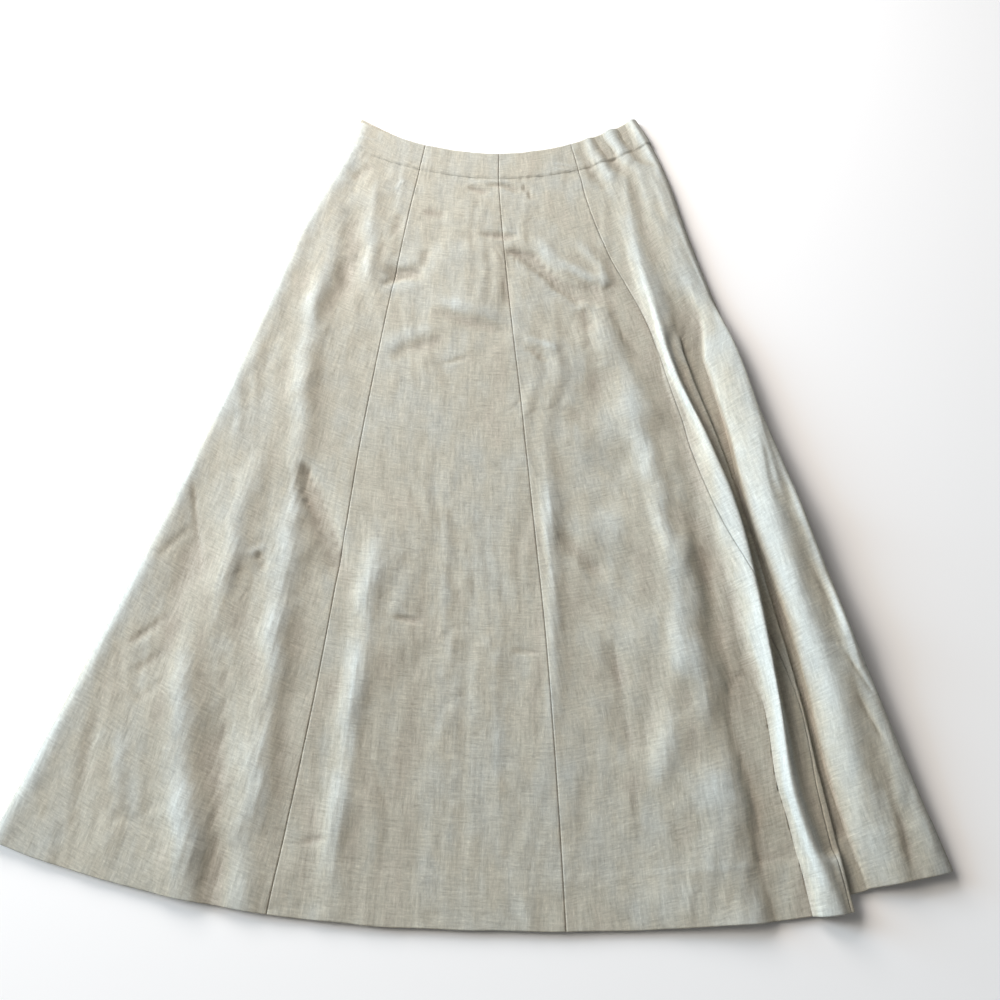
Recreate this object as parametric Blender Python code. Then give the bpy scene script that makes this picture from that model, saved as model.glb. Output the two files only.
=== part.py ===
"""An a-line midi skirt in linen, laid flat: eight gores with a casing turned from their own tops.

Metres, +Z up. The waist points along +Y and the hem along -Y. Left and right are those of a
person who looks down at the skirt from its hem. "Down" is the share of the way from the top
edge to the hem, 0 to 1. Each crosswise section of the front is one smooth curve through named
stations, and each gore is the wall between two seams of that curve.
"""

import bpy
import numpy as np

# Driving dimensions
CLOTH_WALL = 0.0012
CASING_WALL = 0.0026
HEM_WALL = 0.0019
CASING_ENDS = 0.050
HEM_TURN_UP_STARTS = 0.945
WALL_CHANGE = 0.010
SEAM_GAP = 0.0003
SEAM_DIP = 0.0005
LAYER_GAP = 0.0005
TUCK_GAP = 0.0012

# Top edge and hem
WAIST_LEFT_X = -0.177
WAIST_RIGHT_X = 0.177
TOP_EDGE_Y = 0.464
TOP_EDGE_DIP = 1.87
HEM_LEFT_X = -0.438
HEM_RIGHT_X = 0.384
HEM_Y = -0.386
HEM_LOWEST_X = 0.040
HEM_REACH = 0.348
HEM_RISE = 0.032
HEM_POWER = 2.4
UNDER_LAYER_LIFT = 0.014
FLOOR_RUN = 0.0030
OVER_TUCK = 0.0014
CREST_FOOT_LIFT = 0.0008
BACK_TOP_PEEK = 0.010
LEFT_TOP_DROP = 0.006
BACK_HEM_INSET = 0.0015

# Side edges
EDGE_SIDE_HEIGHT = 0.0016
SHOULDER_RUN = 0.0055
SHOULDER_RISE = 0.0017
SHOULDER_INNER_RUN = 0.024
RIGHT_EDGE_LIFT = 0.7

# Waist gathers at the right end, where the elastic draws the casing in
GATHER_FROM_X = 0.100
GATHER_PITCH = 0.031
GATHER_SLANT = 0.34
GATHER_HEIGHT = 0.0019
GATHER_DOWN = 0.11

# Where each section's edges and seams lie, and how high the front cloth lies
SECTION_COLUMNS = ("down", "left_edge", "left_seam", "centre_seam", "right_edge", "lie")
SECTIONS = (
    (0.00, -0.177, -0.093, -0.001, 0.172, 0.0052),
    (0.05, -0.189, -0.099, -0.001, 0.190, 0.0054),
    (0.12, -0.211, -0.108, 0.002, 0.207, 0.0056),
    (0.20, -0.235, -0.117, 0.007, 0.220, 0.0057),
    (0.30, -0.258, -0.128, 0.014, 0.239, 0.0057),
    (0.40, -0.280, -0.138, 0.022, 0.261, 0.0057),
    (0.50, -0.303, -0.147, 0.029, 0.281, 0.0056),
    (0.60, -0.328, -0.154, 0.036, 0.301, 0.0055),
    (0.70, -0.354, -0.162, 0.043, 0.320, 0.0054),
    (0.80, -0.382, -0.171, 0.048, 0.341, 0.0052),
    (0.90, -0.410, -0.182, 0.052, 0.362, 0.0050),
    (1.00, -0.438, -0.194, 0.055, 0.384, 0.0046),
)

# The deep fold beside the right seam: a crest, a tuck laid under it, and a second roll.
# folded is 0 where there is only a soft valley and 1 where the tuck is whole.
FOLD_COLUMNS = (
    "down", "folded", "flank_x", "crest_x", "crest_z", "foot_x", "lip_x", "tuck_depth",
    "rise_x", "rise_z", "roll_x", "roll_z", "valley_z", "seam_past_crest",
)
FOLD_SECTIONS = (
    (0.00, 0.0, 0.110, 0.138, 0.0054, 0.143, 0.148, 0.000, 0.152, 0.0053, 0.156, 0.0054, 0.0052, -0.050),
    (0.05, 0.0, 0.122, 0.146, 0.0064, 0.150, 0.155, 0.000, 0.162, 0.0060, 0.168, 0.0066, 0.0060, -0.050),
    (0.12, 0.0, 0.132, 0.153, 0.0078, 0.158, 0.164, 0.000, 0.169, 0.0068, 0.178, 0.0082, 0.0063, -0.045),
    (0.20, 0.0, 0.143, 0.159, 0.0096, 0.165, 0.173, 0.002, 0.181, 0.0078, 0.193, 0.0094, 0.0078, -0.033),
    (0.30, 0.10, 0.158, 0.173, 0.0116, 0.180, 0.192, 0.008, 0.206, 0.0080, 0.224, 0.0110, 0.0080, -0.016),
    (0.40, 1.00, 0.174, 0.189, 0.0128, 0.194, 0.206, 0.014, 0.227, 0.0070, 0.256, 0.0148, 0.0045, -0.012),
    (0.50, 1.0, 0.193, 0.215, 0.0162, 0.219, 0.228, 0.014, 0.242, 0.0110, 0.266, 0.0192, 0.0040, -0.020),
    (0.60, 1.0, 0.204, 0.236, 0.0198, 0.240, 0.246, 0.015, 0.251, 0.0130, 0.268, 0.0235, 0.0040, -0.017),
    (0.70, 1.0, 0.222, 0.2455, 0.0205, 0.250, 0.261, 0.022, 0.268, 0.0125, 0.281, 0.0230, 0.0040, 0.008),
    (0.80, 1.0, 0.240, 0.252, 0.0180, 0.258, 0.275, 0.027, 0.283, 0.0095, 0.299, 0.0205, 0.0040, 0.0265),
    (0.90, 1.0, 0.243, 0.256, 0.0155, 0.270, 0.284, 0.030, 0.294, 0.0075, 0.312, 0.0160, 0.0040, 0.0256),
    (1.00, 1.0, 0.258, 0.282, 0.0128, 0.288, 0.294, 0.029, 0.312, 0.0046, 0.334, 0.0095, 0.0040, 0.0096),
)

# Soft ridges (height above 0) and troughs (below 0), from one point of the plan to another
CREASE_COLUMNS = ("from_x", "from_y", "to_x", "to_y", "bow", "half_width", "height")
CREASES = {
    "left hip ridge": (-0.150, 0.440, -0.150, 0.230, -0.002, 0.009, 0.0016),
    "left hip trough": (-0.168, 0.395, -0.178, 0.225, -0.001, 0.013, -0.0023),
    "left long ridge": (-0.191, 0.345, -0.197, -0.010, -0.017, 0.013, 0.0038),
    "left lower ridge": (-0.202, 0.040, -0.219, -0.420, -0.002, 0.014, 0.0046),
    "pocket below the left pucker": (-0.206, 0.050, -0.146, -0.100, -0.003, 0.012, -0.0034),
    "far left ridge": (-0.250, 0.070, -0.270, -0.175, -0.004, 0.013, 0.0032),
    "far left trough": (-0.300, 0.050, -0.322, -0.200, 0.004, 0.013, -0.0022),
    "ridge beside the left seam": (-0.118, 0.010, -0.147, -0.420, -0.001, 0.012, 0.0036),
    "swell right of the left seam": (-0.098, 0.010, -0.124, -0.400, -0.001, 0.022, 0.0022),
    "right middle ridge": (0.140, 0.110, 0.172, -0.200, 0.012, 0.013, 0.0048),
    "right middle ridge, foot": (0.176, -0.110, 0.128, -0.310, 0.004, 0.013, 0.0028),
    "swell beside the crest": (0.184, -0.060, 0.221, -0.620, 0.000, 0.026, 0.0052),
    "trough beside the crest": (0.214, -0.030, 0.252, -0.470, 0.004, 0.018, -0.0030),
    "broad swell on the right": (0.128, 0.260, 0.182, -0.620, 0.000, 0.045, 0.0040),
    "swell left of the crest": (0.108, 0.240, 0.158, 0.060, 0.000, 0.020, 0.0020),
    "trough left of the crest": (0.116, 0.330, 0.214, -0.010, 0.009, 0.020, -0.0034),
    "left corner ridge": (-0.297, -0.095, -0.260, -0.360, -0.008, 0.014, 0.0032),
    "left corner ridge, foot": (-0.268, -0.230, -0.262, -0.450, 0.000, 0.021, 0.0040),
    "left corner trough": (-0.262, -0.190, -0.234, -0.430, 0.000, 0.011, -0.0022),
    "belly hollow": (-0.140, 0.284, -0.082, 0.280, 0.000, 0.010, -0.0026),
    "belly slant": (0.012, 0.330, 0.134, 0.240, -0.016, 0.009, -0.0032),
    "ridge over the belly slant": (0.040, 0.335, 0.128, 0.268, -0.012, 0.008, 0.0020),
    "belly ridge": (-0.085, 0.246, 0.006, 0.215, 0.003, 0.010, 0.0012),
    "belly band": (-0.135, 0.178, -0.050, 0.210, 0.003, 0.012, 0.0010),
    "pucker beside the right seam": (0.118, 0.266, 0.152, 0.236, 0.000, 0.006, -0.0030),
    "centre streak": (0.042, 0.100, 0.042, -0.280, 0.010, 0.008, 0.0020),
    "right edge ridge": (0.280, 0.070, 0.335, -0.210, 0.006, 0.007, 0.0036),
}

# How finely the solids are cut
CURVE_STEPS = 14
TURN_WEIGHT = 0.011
FRONT_ROWS = 30
BACK_ROWS = 16
GORE_STEPS = {
    "front_left_side_gore": 18,
    "front_left_centre_gore": 14,
    "front_right_centre_gore": 19,
    "front_right_side_gore": 38,
}
BACK_STEPS = 4

# Station numbers of the section curve
LEFT_SEAM_STATION = 4
CENTRE_SEAM_STATION = 5
CREST_STATION = 8
LIP_STATION = 10
RISE_STATION = 16
ROLL_STATION = 17

BACK_SEAM_SHARES = (0.0, 0.245, 0.5, 0.755, 1.0)
LINEN_COLOUR = (0.55, 0.53, 0.44, 1.0)


def smooth_step(low, high, value):
    """0 below low, 1 above high, and an S-shaped rise between them."""
    part = np.clip((value - low) / (high - low), 0.0, 1.0)
    return part * part * (3.0 - 2.0 * part)


def table_column(columns, rows, name, down):
    """One column of a table at each distance down: a smooth curve through its rows."""
    table = np.array(rows)
    at = table[:, 0]
    value = table[:, columns.index(name)]
    slope = np.gradient(value, at)
    row = np.clip(np.searchsorted(at, down, side="right") - 1, 0, len(at) - 2)
    width = at[row + 1] - at[row]
    part = (down - at[row]) / width
    rise = part * part * (3.0 - 2.0 * part)
    leave = part * (1.0 - part) ** 2 * width * slope[row]
    arrive = part * part * (1.0 - part) * width * slope[row + 1]
    return value[row] * (1.0 - rise) + value[row + 1] * rise + leave - arrive


def wall_at(down):
    """The wall's thickness: two layers in the casing, one in the body, two in the hem."""
    casing = 1.0 - smooth_step(CASING_ENDS - WALL_CHANGE, CASING_ENDS, down)
    hem = smooth_step(HEM_TURN_UP_STARTS, HEM_TURN_UP_STARTS + WALL_CHANGE, down)
    return CLOTH_WALL + (CASING_WALL - CLOTH_WALL) * casing + (HEM_WALL - CLOTH_WALL) * hem


def plan_y(across, down, lift=0.0):
    """Y of a point at a share across the skirt and a share down it."""
    top_x = WAIST_LEFT_X + (WAIST_RIGHT_X - WAIST_LEFT_X) * across
    hem_x = HEM_LEFT_X + (HEM_RIGHT_X - HEM_LEFT_X) * across
    top_y = TOP_EDGE_Y + TOP_EDGE_DIP * top_x * top_x - LEFT_TOP_DROP * (1.0 - smooth_step(0.0, 0.35, across))
    hem_y = HEM_Y + HEM_RISE * (np.abs(hem_x - HEM_LOWEST_X) / HEM_REACH) ** HEM_POWER
    return top_y + (hem_y + lift - top_y) * down


def front_stations(down):
    """(sections, stations, 2): x and z of the named stations of each crosswise section."""
    section = {name: table_column(SECTION_COLUMNS, SECTIONS, name, down) for name in SECTION_COLUMNS}
    fold = {name: table_column(FOLD_COLUMNS, FOLD_SECTIONS, name, down) for name in FOLD_COLUMNS}
    folded = np.clip(fold["folded"], 0.0, 1.0)
    wall = wall_at(down)
    lie = section["lie"]
    foot_z = wall + SEAM_GAP
    shoulder_z = lie + SHOULDER_RISE
    right_shoulder_z = shoulder_z + RIGHT_EDGE_LIFT * np.maximum(fold["roll_z"] - shoulder_z, 0.0)
    floor_z = wall + LAYER_GAP + wall / 2
    under_z = floor_z + wall + TUCK_GAP
    strip_z = under_z + wall + TUCK_GAP
    turn = (strip_z - under_z) / 2
    tuck_x = fold["lip_x"] - fold["tuck_depth"]

    # The stations between crest and roll, first as a tuck and then as a soft valley
    tuck = (
        (np.minimum(fold["foot_x"], fold["lip_x"] - turn * 1.6), strip_z + CREST_FOOT_LIFT),
        (fold["lip_x"], strip_z - turn),
        (fold["lip_x"] - turn * 1.6, under_z),
        (tuck_x + turn * 1.6, under_z),
        (tuck_x, under_z - turn),
        (tuck_x + turn * 1.6, floor_z),
        (fold["rise_x"] - FLOOR_RUN, floor_z),
        (fold["rise_x"], fold["rise_z"]),
    )
    between = []
    for number, (x, z) in enumerate(tuck):
        share = (number + 1) / (len(tuck) + 1)
        valley_x = fold["crest_x"] + (fold["roll_x"] - fold["crest_x"]) * share
        bank_z = fold["crest_z"] + (fold["roll_z"] - fold["crest_z"]) * share
        dip = (1.0 - np.cos(2 * np.pi * share)) / 2
        valley_z = bank_z + (fold["valley_z"] - bank_z) * dip
        between.append((valley_x + (x - valley_x) * folded**2, valley_z + (z - valley_z) * folded))

    # The crest's left side, kept clear of the tuck that lies under it
    flank_run = fold["crest_x"] - fold["flank_x"]
    slope_x = fold["flank_x"] + flank_run * 0.52
    over_tuck_x = np.minimum(slope_x, tuck_x + 0.002)
    slope_z = lie + (fold["crest_z"] - lie) * smooth_step(0.0, 1.0, (over_tuck_x - fold["flank_x"]) / flank_run)
    clear_z = (strip_z + OVER_TUCK) * folded
    over_tuck_z = np.maximum(slope_z, clear_z)
    left, right = section["left_edge"], section["right_edge"]
    stations = [
        (left, foot_z),
        (left, foot_z + EDGE_SIDE_HEIGHT),
        (left + SHOULDER_RUN, shoulder_z),
        (left + SHOULDER_INNER_RUN, shoulder_z - 0.0006),
        (section["left_seam"], lie),
        (section["centre_seam"], lie),
        (fold["flank_x"], lie),
        (over_tuck_x, over_tuck_z),
        (fold["crest_x"], fold["crest_z"]),
        *between,
        (fold["roll_x"], fold["roll_z"]),
        ((fold["roll_x"] + right) / 2, (fold["roll_z"] + right_shoulder_z) / 2),
        (right - SHOULDER_RUN, right_shoulder_z),
        (right, foot_z + EDGE_SIDE_HEIGHT),
        (right, foot_z),
    ]
    return np.stack([np.stack(np.broadcast_arrays(x, z), axis=-1) for x, z in stations], axis=1)


def curve_through(stations):
    """(curve, station numbers): a Catmull-Rom curve whose knots go by the square root of the gaps."""
    first = 2 * stations[:, :1] - stations[:, 1:2]
    last = 2 * stations[:, -1:] - stations[:, -2:-1]
    points = np.concatenate([first, stations, last], axis=1)
    knot_gaps = np.sqrt(np.maximum(np.linalg.norm(np.diff(points, axis=1), axis=2), 1e-7))
    part = np.arange(CURVE_STEPS) / CURVE_STEPS
    pieces = []
    for gap in range(stations.shape[1] - 1):
        p0, p1, p2, p3 = (points[:, None, gap + k] for k in range(4))
        g0, g1, g2 = (knot_gaps[:, gap + k, None, None] for k in range(3))
        along = part[None, :, None] * g1
        a1 = p1 + (p1 - p0) / g0 * along
        a2 = p1 + (p2 - p1) / g1 * along
        a3 = p2 + (p3 - p2) / g2 * (along - g1)
        b1 = a1 + (a2 - a1) * (along + g0) / (g0 + g1)
        b2 = a2 + (a3 - a2) * along / (g1 + g2)
        pieces.append(b1 + (b2 - b1) * along / g1)
    curve = np.concatenate([*pieces, stations[:, -1:]], axis=1)
    return curve, np.arange(curve.shape[1]) / CURVE_STEPS


def crease_height(x, y):
    """The sum of the soft ridges and troughs at points of the plan."""
    height = np.zeros_like(x)
    for row in CREASES.values():
        crease = dict(zip(CREASE_COLUMNS, row))
        run_x = crease["to_x"] - crease["from_x"]
        run_y = crease["to_y"] - crease["from_y"]
        length = np.hypot(run_x, run_y)
        off_x, off_y = x - crease["from_x"], y - crease["from_y"]
        along = (off_x * run_x + off_y * run_y) / length**2
        aside = (off_y * run_x - off_x * run_y) / length
        aside = aside - crease["bow"] * 4 * along * (1 - along)
        ends = smooth_step(0.0, 0.3, along) * (1 - smooth_step(0.7, 1.0, along))
        height += crease["height"] * ends * np.exp(-((aside / crease["half_width"]) ** 2))
    return height


def gather_height(x, down):
    """The broad slanted gathers that the elastic draws in the casing and just below it."""
    across = smooth_step(GATHER_FROM_X, GATHER_FROM_X + 0.015, x)
    fade = 1.0 - smooth_step(0.02, GATHER_DOWN, down)
    along = (x - GATHER_FROM_X - GATHER_SLANT * down) / GATHER_PITCH
    return GATHER_HEIGHT * across * fade * np.sin(2 * np.pi * along)


def front_sections(down):
    """The front's middle surface: points, up-facing directions and length along each section."""
    stations = front_stations(down)
    curve, number = curve_through(stations)
    x, z = curve[..., 0], curve[..., 1]
    rows = down[:, None]
    left, right = stations[:, :1, 0], stations[:, -1:, 0]
    across = (x - left) / (right - left)
    under = smooth_step(LIP_STATION, RISE_STATION, number)[None, :]
    y = plan_y(across, rows, UNDER_LAYER_LIFT * under)
    beside_fold = 1.0 - smooth_step(CREST_STATION - 0.7, CREST_STATION - 0.05, number)
    beside_fold = beside_fold + smooth_step(ROLL_STATION + 0.05, ROLL_STATION + 0.7, number)
    wall = wall_at(rows)
    lowest = wall + LAYER_GAP + wall / 2
    inside = smooth_step(0.0, 0.012, x - left) * smooth_step(0.0, 0.010, right - x)
    relief = crease_height(x, y) * beside_fold * smooth_step(0.03, 0.08, rows)
    relief = (relief + gather_height(x, rows)) * inside
    z = np.where(inside > 0, np.maximum(z + relief, lowest), z)
    run_x, run_z = np.gradient(x, axis=1), np.gradient(z, axis=1)
    step = np.hypot(run_x, run_z)
    length = np.cumsum(np.hypot(np.diff(x, axis=1), np.diff(z, axis=1)), axis=1)
    length = np.concatenate([np.zeros((len(down), 1)), length], axis=1)
    return {
        "x": x, "y": y, "z": z, "out_x": -run_z / step, "out_z": run_x / step,
        "length": length, "number": number, "wall": wall[:, 0],
    }


def seam_lengths(front, down):
    """For each section, how far along it each gore starts and ends."""
    length, number = front["length"], front["number"]
    past_crest = table_column(FOLD_COLUMNS, FOLD_SECTIONS, "seam_past_crest", down)
    left = length[:, LEFT_SEAM_STATION * CURVE_STEPS]
    centre = length[:, CENTRE_SEAM_STATION * CURVE_STEPS]
    right = length[:, CREST_STATION * CURVE_STEPS] + past_crest
    return np.stack([length[:, 0], left, centre, right, length[:, -1]])


def gore_grid(front, start, end, steps):
    """Outer and inner surfaces of a gore, with more columns where the section turns."""
    outer, inner = [], []
    for row in range(len(start)):
        length = front["length"][row]
        heading = np.unwrap(np.arctan2(-front["out_x"][row], front["out_z"][row]))
        measure = length + TURN_WEIGHT * np.concatenate([[0], np.cumsum(np.abs(np.diff(heading)))])
        ends = np.interp([start[row], end[row]], length, measure)
        at = np.interp(np.linspace(ends[0], ends[1], steps + 1), measure, length)
        at[0], at[-1] = start[row], end[row]
        x, y, z, out_x, out_z = (
            np.interp(at, length, front[name][row]) for name in ("x", "y", "z", "out_x", "out_z")
        )
        size = np.hypot(out_x, out_z)
        half = front["wall"][row] / 2
        above = np.full(steps + 1, half)
        above[[0, -1]] -= SEAM_DIP
        outer.append(np.stack([x + out_x / size * above, y, z + out_z / size * above], axis=1))
        inner.append(np.stack([x - out_x / size * half, y, z - out_z / size * half], axis=1))
    return np.array(outer), np.array(inner)


def closed_panel(name, outer, inner, material):
    """A closed solid between two grids of the same size, its outer grid facing up."""
    rows, columns = outer.shape[:2]
    points = np.concatenate([outer.reshape(-1, 3), inner.reshape(-1, 3)])
    index = np.arange(rows * columns).reshape(rows, columns)
    under = index + rows * columns
    faces = []
    for r in range(rows - 1):
        for c in range(columns - 1):
            faces.append((index[r, c], index[r + 1, c], index[r + 1, c + 1], index[r, c + 1]))
            faces.append((under[r, c], under[r, c + 1], under[r + 1, c + 1], under[r + 1, c]))
    for r in range(rows - 1):
        faces.append((index[r, 0], under[r, 0], under[r + 1, 0], index[r + 1, 0]))
        faces.append((index[r, -1], index[r + 1, -1], under[r + 1, -1], under[r, -1]))
    for c in range(columns - 1):
        faces.append((index[0, c], index[0, c + 1], under[0, c + 1], under[0, c]))
        faces.append((index[-1, c], under[-1, c], under[-1, c + 1], index[-1, c + 1]))
    mesh = bpy.data.meshes.new(name)
    mesh.from_pydata(points.tolist(), [], [tuple(int(k) for k in face) for face in faces])
    mesh.materials.append(material)
    mesh.update()
    panel = bpy.data.objects.new(name, mesh)
    bpy.context.scene.collection.objects.link(panel)
    return panel


def section_spacing(count):
    """Distances down, closer together at the casing and the hem's turn-up."""
    casing = (0.0, CASING_ENDS - WALL_CHANGE, CASING_ENDS)
    hem = (HEM_TURN_UP_STARTS, HEM_TURN_UP_STARTS + WALL_CHANGE, 1.0)
    body = np.linspace(CASING_ENDS, HEM_TURN_UP_STARTS, count)[1:-1]
    return np.concatenate([casing, body, hem])


def linen(name):
    """A plain linen material."""
    material = bpy.data.materials.new(name)
    material.use_nodes = True
    shader = material.node_tree.nodes["Principled BSDF"]
    shader.inputs["Base Color"].default_value = LINEN_COLOUR
    shader.inputs["Roughness"].default_value = 0.9
    return material


def build_front():
    """The four front gores, cut from one set of sections."""
    down = section_spacing(FRONT_ROWS)
    front = front_sections(down)
    seams = seam_lengths(front, down)
    for number, (name, steps) in enumerate(GORE_STEPS.items()):
        start = seams[number] + (SEAM_GAP / 2 if number > 0 else 0.0)
        end = seams[number + 1] - (SEAM_GAP / 2 if number < 3 else 0.0)
        outer, inner = gore_grid(front, start, end, steps)
        closed_panel(name, outer, inner, linen(name))


def build_back():
    """The four back gores, flat on the table, within the front's outline."""
    down = section_spacing(BACK_ROWS)
    left = table_column(SECTION_COLUMNS, SECTIONS, "left_edge", down)[:, None]
    right = table_column(SECTION_COLUMNS, SECTIONS, "right_edge", down)[:, None]
    names = ("back_left_side_gore", "back_left_centre_gore", "back_right_centre_gore", "back_right_side_gore")
    rows = down[:, None]
    for number, name in enumerate(names):
        share = np.linspace(BACK_SEAM_SHARES[number], BACK_SEAM_SHARES[number + 1], BACK_STEPS + 1)[None, :]
        x = left + (right - left) * share
        x[:, 0] += SEAM_GAP / 2 if number > 0 else 0.0
        x[:, -1] -= SEAM_GAP / 2 if number < 3 else 0.0
        across = (x - left) / (right - left)
        lift = BACK_HEM_INSET + UNDER_LAYER_LIFT * smooth_step(0.86, 0.89, across)
        y = plan_y(across, rows, lift)
        y = y + BACK_TOP_PEEK * (1.0 - smooth_step(0.0, 0.3, across)) * (1.0 - rows)
        top = np.broadcast_to(wall_at(rows), x.shape)
        outer = np.stack([x, y, top], axis=-1)
        inner = np.stack([x, y, np.zeros_like(x)], axis=-1)
        closed_panel(name, outer, inner, linen(name))


def centre_on_origin():
    """Moves every gore so that the middle of the whole skirt's box stands at x = y = 0."""
    panels = [thing for thing in bpy.data.objects if thing.type == "MESH"]
    corners = np.array([vertex.co[:2] for panel in panels for vertex in panel.data.vertices])
    middle = (corners.min(axis=0) + corners.max(axis=0)) / 2
    for panel in panels:
        for vertex in panel.data.vertices:
            vertex.co.x -= middle[0]
            vertex.co.y -= middle[1]


def main():
    for thing in list(bpy.data.objects):
        bpy.data.objects.remove(thing, do_unlink=True)
    build_front()
    build_back()
    centre_on_origin()


main()
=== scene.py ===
"""The look of an a-line midi skirt in undyed linen, laid flat: thin cloth gores over the part's solids.

Metres, +Z up, in the row frame. The waist points along +Y and the hem along -Y. Left and right are
those of a person who looks down at the skirt from its hem. "Down" is the share of the way from the
top edge to the hem. The shape tables are the part's own, in plan metres before the middle of the
skirt is moved to the origin. The cloth lies on the outer faces of the solids that it replaces.
"""

import math

import bpy
import numpy as np
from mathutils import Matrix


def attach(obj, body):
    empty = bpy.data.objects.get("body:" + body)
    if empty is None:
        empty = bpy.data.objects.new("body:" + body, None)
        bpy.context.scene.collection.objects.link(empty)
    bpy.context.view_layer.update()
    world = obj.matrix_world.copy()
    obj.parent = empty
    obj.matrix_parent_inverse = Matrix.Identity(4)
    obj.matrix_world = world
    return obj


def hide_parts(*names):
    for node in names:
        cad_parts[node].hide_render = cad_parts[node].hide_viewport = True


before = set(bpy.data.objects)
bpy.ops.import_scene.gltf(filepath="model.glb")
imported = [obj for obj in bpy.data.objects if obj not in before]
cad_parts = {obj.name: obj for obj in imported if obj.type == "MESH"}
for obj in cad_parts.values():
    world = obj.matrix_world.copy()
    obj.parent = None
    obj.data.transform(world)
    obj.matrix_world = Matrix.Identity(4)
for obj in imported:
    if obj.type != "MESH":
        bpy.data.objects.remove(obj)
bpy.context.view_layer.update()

# Walls and gaps of the part's solids
CLOTH_WALL = 0.0012
CASING_WALL = 0.0026
HEM_WALL = 0.0019
SEAM_GAP = 0.0003
CLOTH_SEAM_GAP = 0.00012
LAYER_GAP = 0.0005
TUCK_GAP = 0.0012

# Shares of the way down: the casing's end, the hem turn-up's start, and the steps of the wall there
CASING_ENDS = 0.050
HEM_TURN_UP_STARTS = 0.945
CASING_STEP = 0.0035
HEM_STEP = 0.012

# Top edge and hem
PLAN_MIDDLE_X = -0.02674
PLAN_MIDDLE_Y = 0.07029
WAIST_LEFT_X = -0.177
WAIST_RIGHT_X = 0.177
TOP_EDGE_Y = 0.464
TOP_EDGE_DIP = 1.87
HEM_LEFT_X = -0.438
HEM_RIGHT_X = 0.384
HEM_Y = -0.386
HEM_LOWEST_X = 0.040
HEM_REACH = 0.348
HEM_RISE = 0.032
HEM_POWER = 2.4
UNDER_LAYER_LIFT = 0.014
FLOOR_RUN = 0.0030
OVER_TUCK = 0.0014
CREST_FOOT_LIFT = 0.0008
LEFT_TOP_DROP = 0.006
LEFT_DROP_REACH = 0.35

# How the fold's own layers pass each other
TURN_BULGE = 1.6
OVER_TUCK_CLEAR = 0.002
FLANK_MIDDLE = 0.52

# Side edges and waist gathers
EDGE_SIDE_HEIGHT = 0.0016
SHOULDER_RUN = 0.0055
SHOULDER_RISE = 0.0017
SHOULDER_INNER_RUN = 0.024
SHOULDER_SAG = 0.0006
RIGHT_EDGE_LIFT = 0.7
GATHER_FROM_X = 0.100
GATHER_PITCH = 0.031
GATHER_SLANT = 0.34
GATHER_HEIGHT = 0.0019
GATHER_DOWN = 0.11
GATHER_RUN_IN = 0.015
GATHER_FULL_DOWN = 0.02

# The cloth that shows: one layer, a casing of two with its turning, a hem of two
THIN_CLOTH = 0.0008
THIN_CASING = 0.0021
THIN_HEM = 0.0015
EDGE_ROUNDING = 0.0011
EDGE_LEAST = 0.12
SEAM_DIP = 0.00045
SEAM_ROLL = 0.0006
DEEPEST_DENT = 0.0009
FRONT_LENGTH = 0.85

# Sewn lines, in metres below the top edge
CASING_LINE = CASING_ENDS * FRONT_LENGTH - 0.0016
TOP_LINE = 0.0062
HEM_LINE = HEM_TURN_UP_STARTS * FRONT_LENGTH + 0.002

# Grooves along sewn lines: depth and half width
CASING_GROOVE = (0.00042, 0.0013)
TOP_GROOVE = (0.00022, 0.0009)
HEM_GROOVE = (0.00003, 0.0016)
HEM_DIMPLES = (0.00009, 0.0018)

# The top stitching's fades at its left and right ends, in plan x
TOP_LINE_STARTS = (-0.075, -0.045)
TOP_LINE_STOPS = (0.085, 0.100)

# Puckers beside sewn lines: height, pitch across and along the line, and reach
SEAM_PUCKERS = (0.00024, 0.030, 0.0085, 0.0075)
CASING_PUCKERS = (0.00030, 0.040, 0.0075, 0.0065)

# Blind stitches: their pitch, and the reach and pitch of their wander
BLIND_PITCH = 0.011
BLIND_WANDER = 0.30
BLIND_WANDER_PITCH = 0.04

# Waver of the two edges: height, pitch and seed
TOP_WANDER = (0.0005, 0.021, 161)
HEM_WANDER = (0.0007, 0.045, 171)

# How far the darker seams and the casing's line, which are painted shade, and the paler edges reach
SEAM_SHADE_REACH = 0.0007
BACK_SHADE_REACH = 0.0012
CASING_SHADE_REACH = 0.0010
CASING_PAINTED_SHADE = 0.4
EDGE_SHADE_REACH = 0.0020

# Places of the gores' grains, so that no two weaves match
GRAIN_SHIFT = 0.31
GRAIN_DRIFT = 0.37

SECTION_COLUMNS = ("down", "left_edge", "left_seam", "centre_seam", "right_edge", "lie")
SECTIONS = (
    (0.00, -0.177, -0.093, -0.001, 0.172, 0.0052),
    (0.05, -0.189, -0.099, -0.001, 0.190, 0.0054),
    (0.12, -0.211, -0.108, 0.002, 0.207, 0.0056),
    (0.20, -0.235, -0.117, 0.007, 0.220, 0.0057),
    (0.30, -0.258, -0.128, 0.014, 0.239, 0.0057),
    (0.40, -0.280, -0.138, 0.022, 0.261, 0.0057),
    (0.50, -0.303, -0.147, 0.029, 0.281, 0.0056),
    (0.60, -0.328, -0.154, 0.036, 0.301, 0.0055),
    (0.70, -0.354, -0.162, 0.043, 0.320, 0.0054),
    (0.80, -0.382, -0.171, 0.048, 0.341, 0.0052),
    (0.90, -0.410, -0.182, 0.052, 0.362, 0.0050),
    (1.00, -0.438, -0.194, 0.055, 0.384, 0.0046),
)

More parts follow.
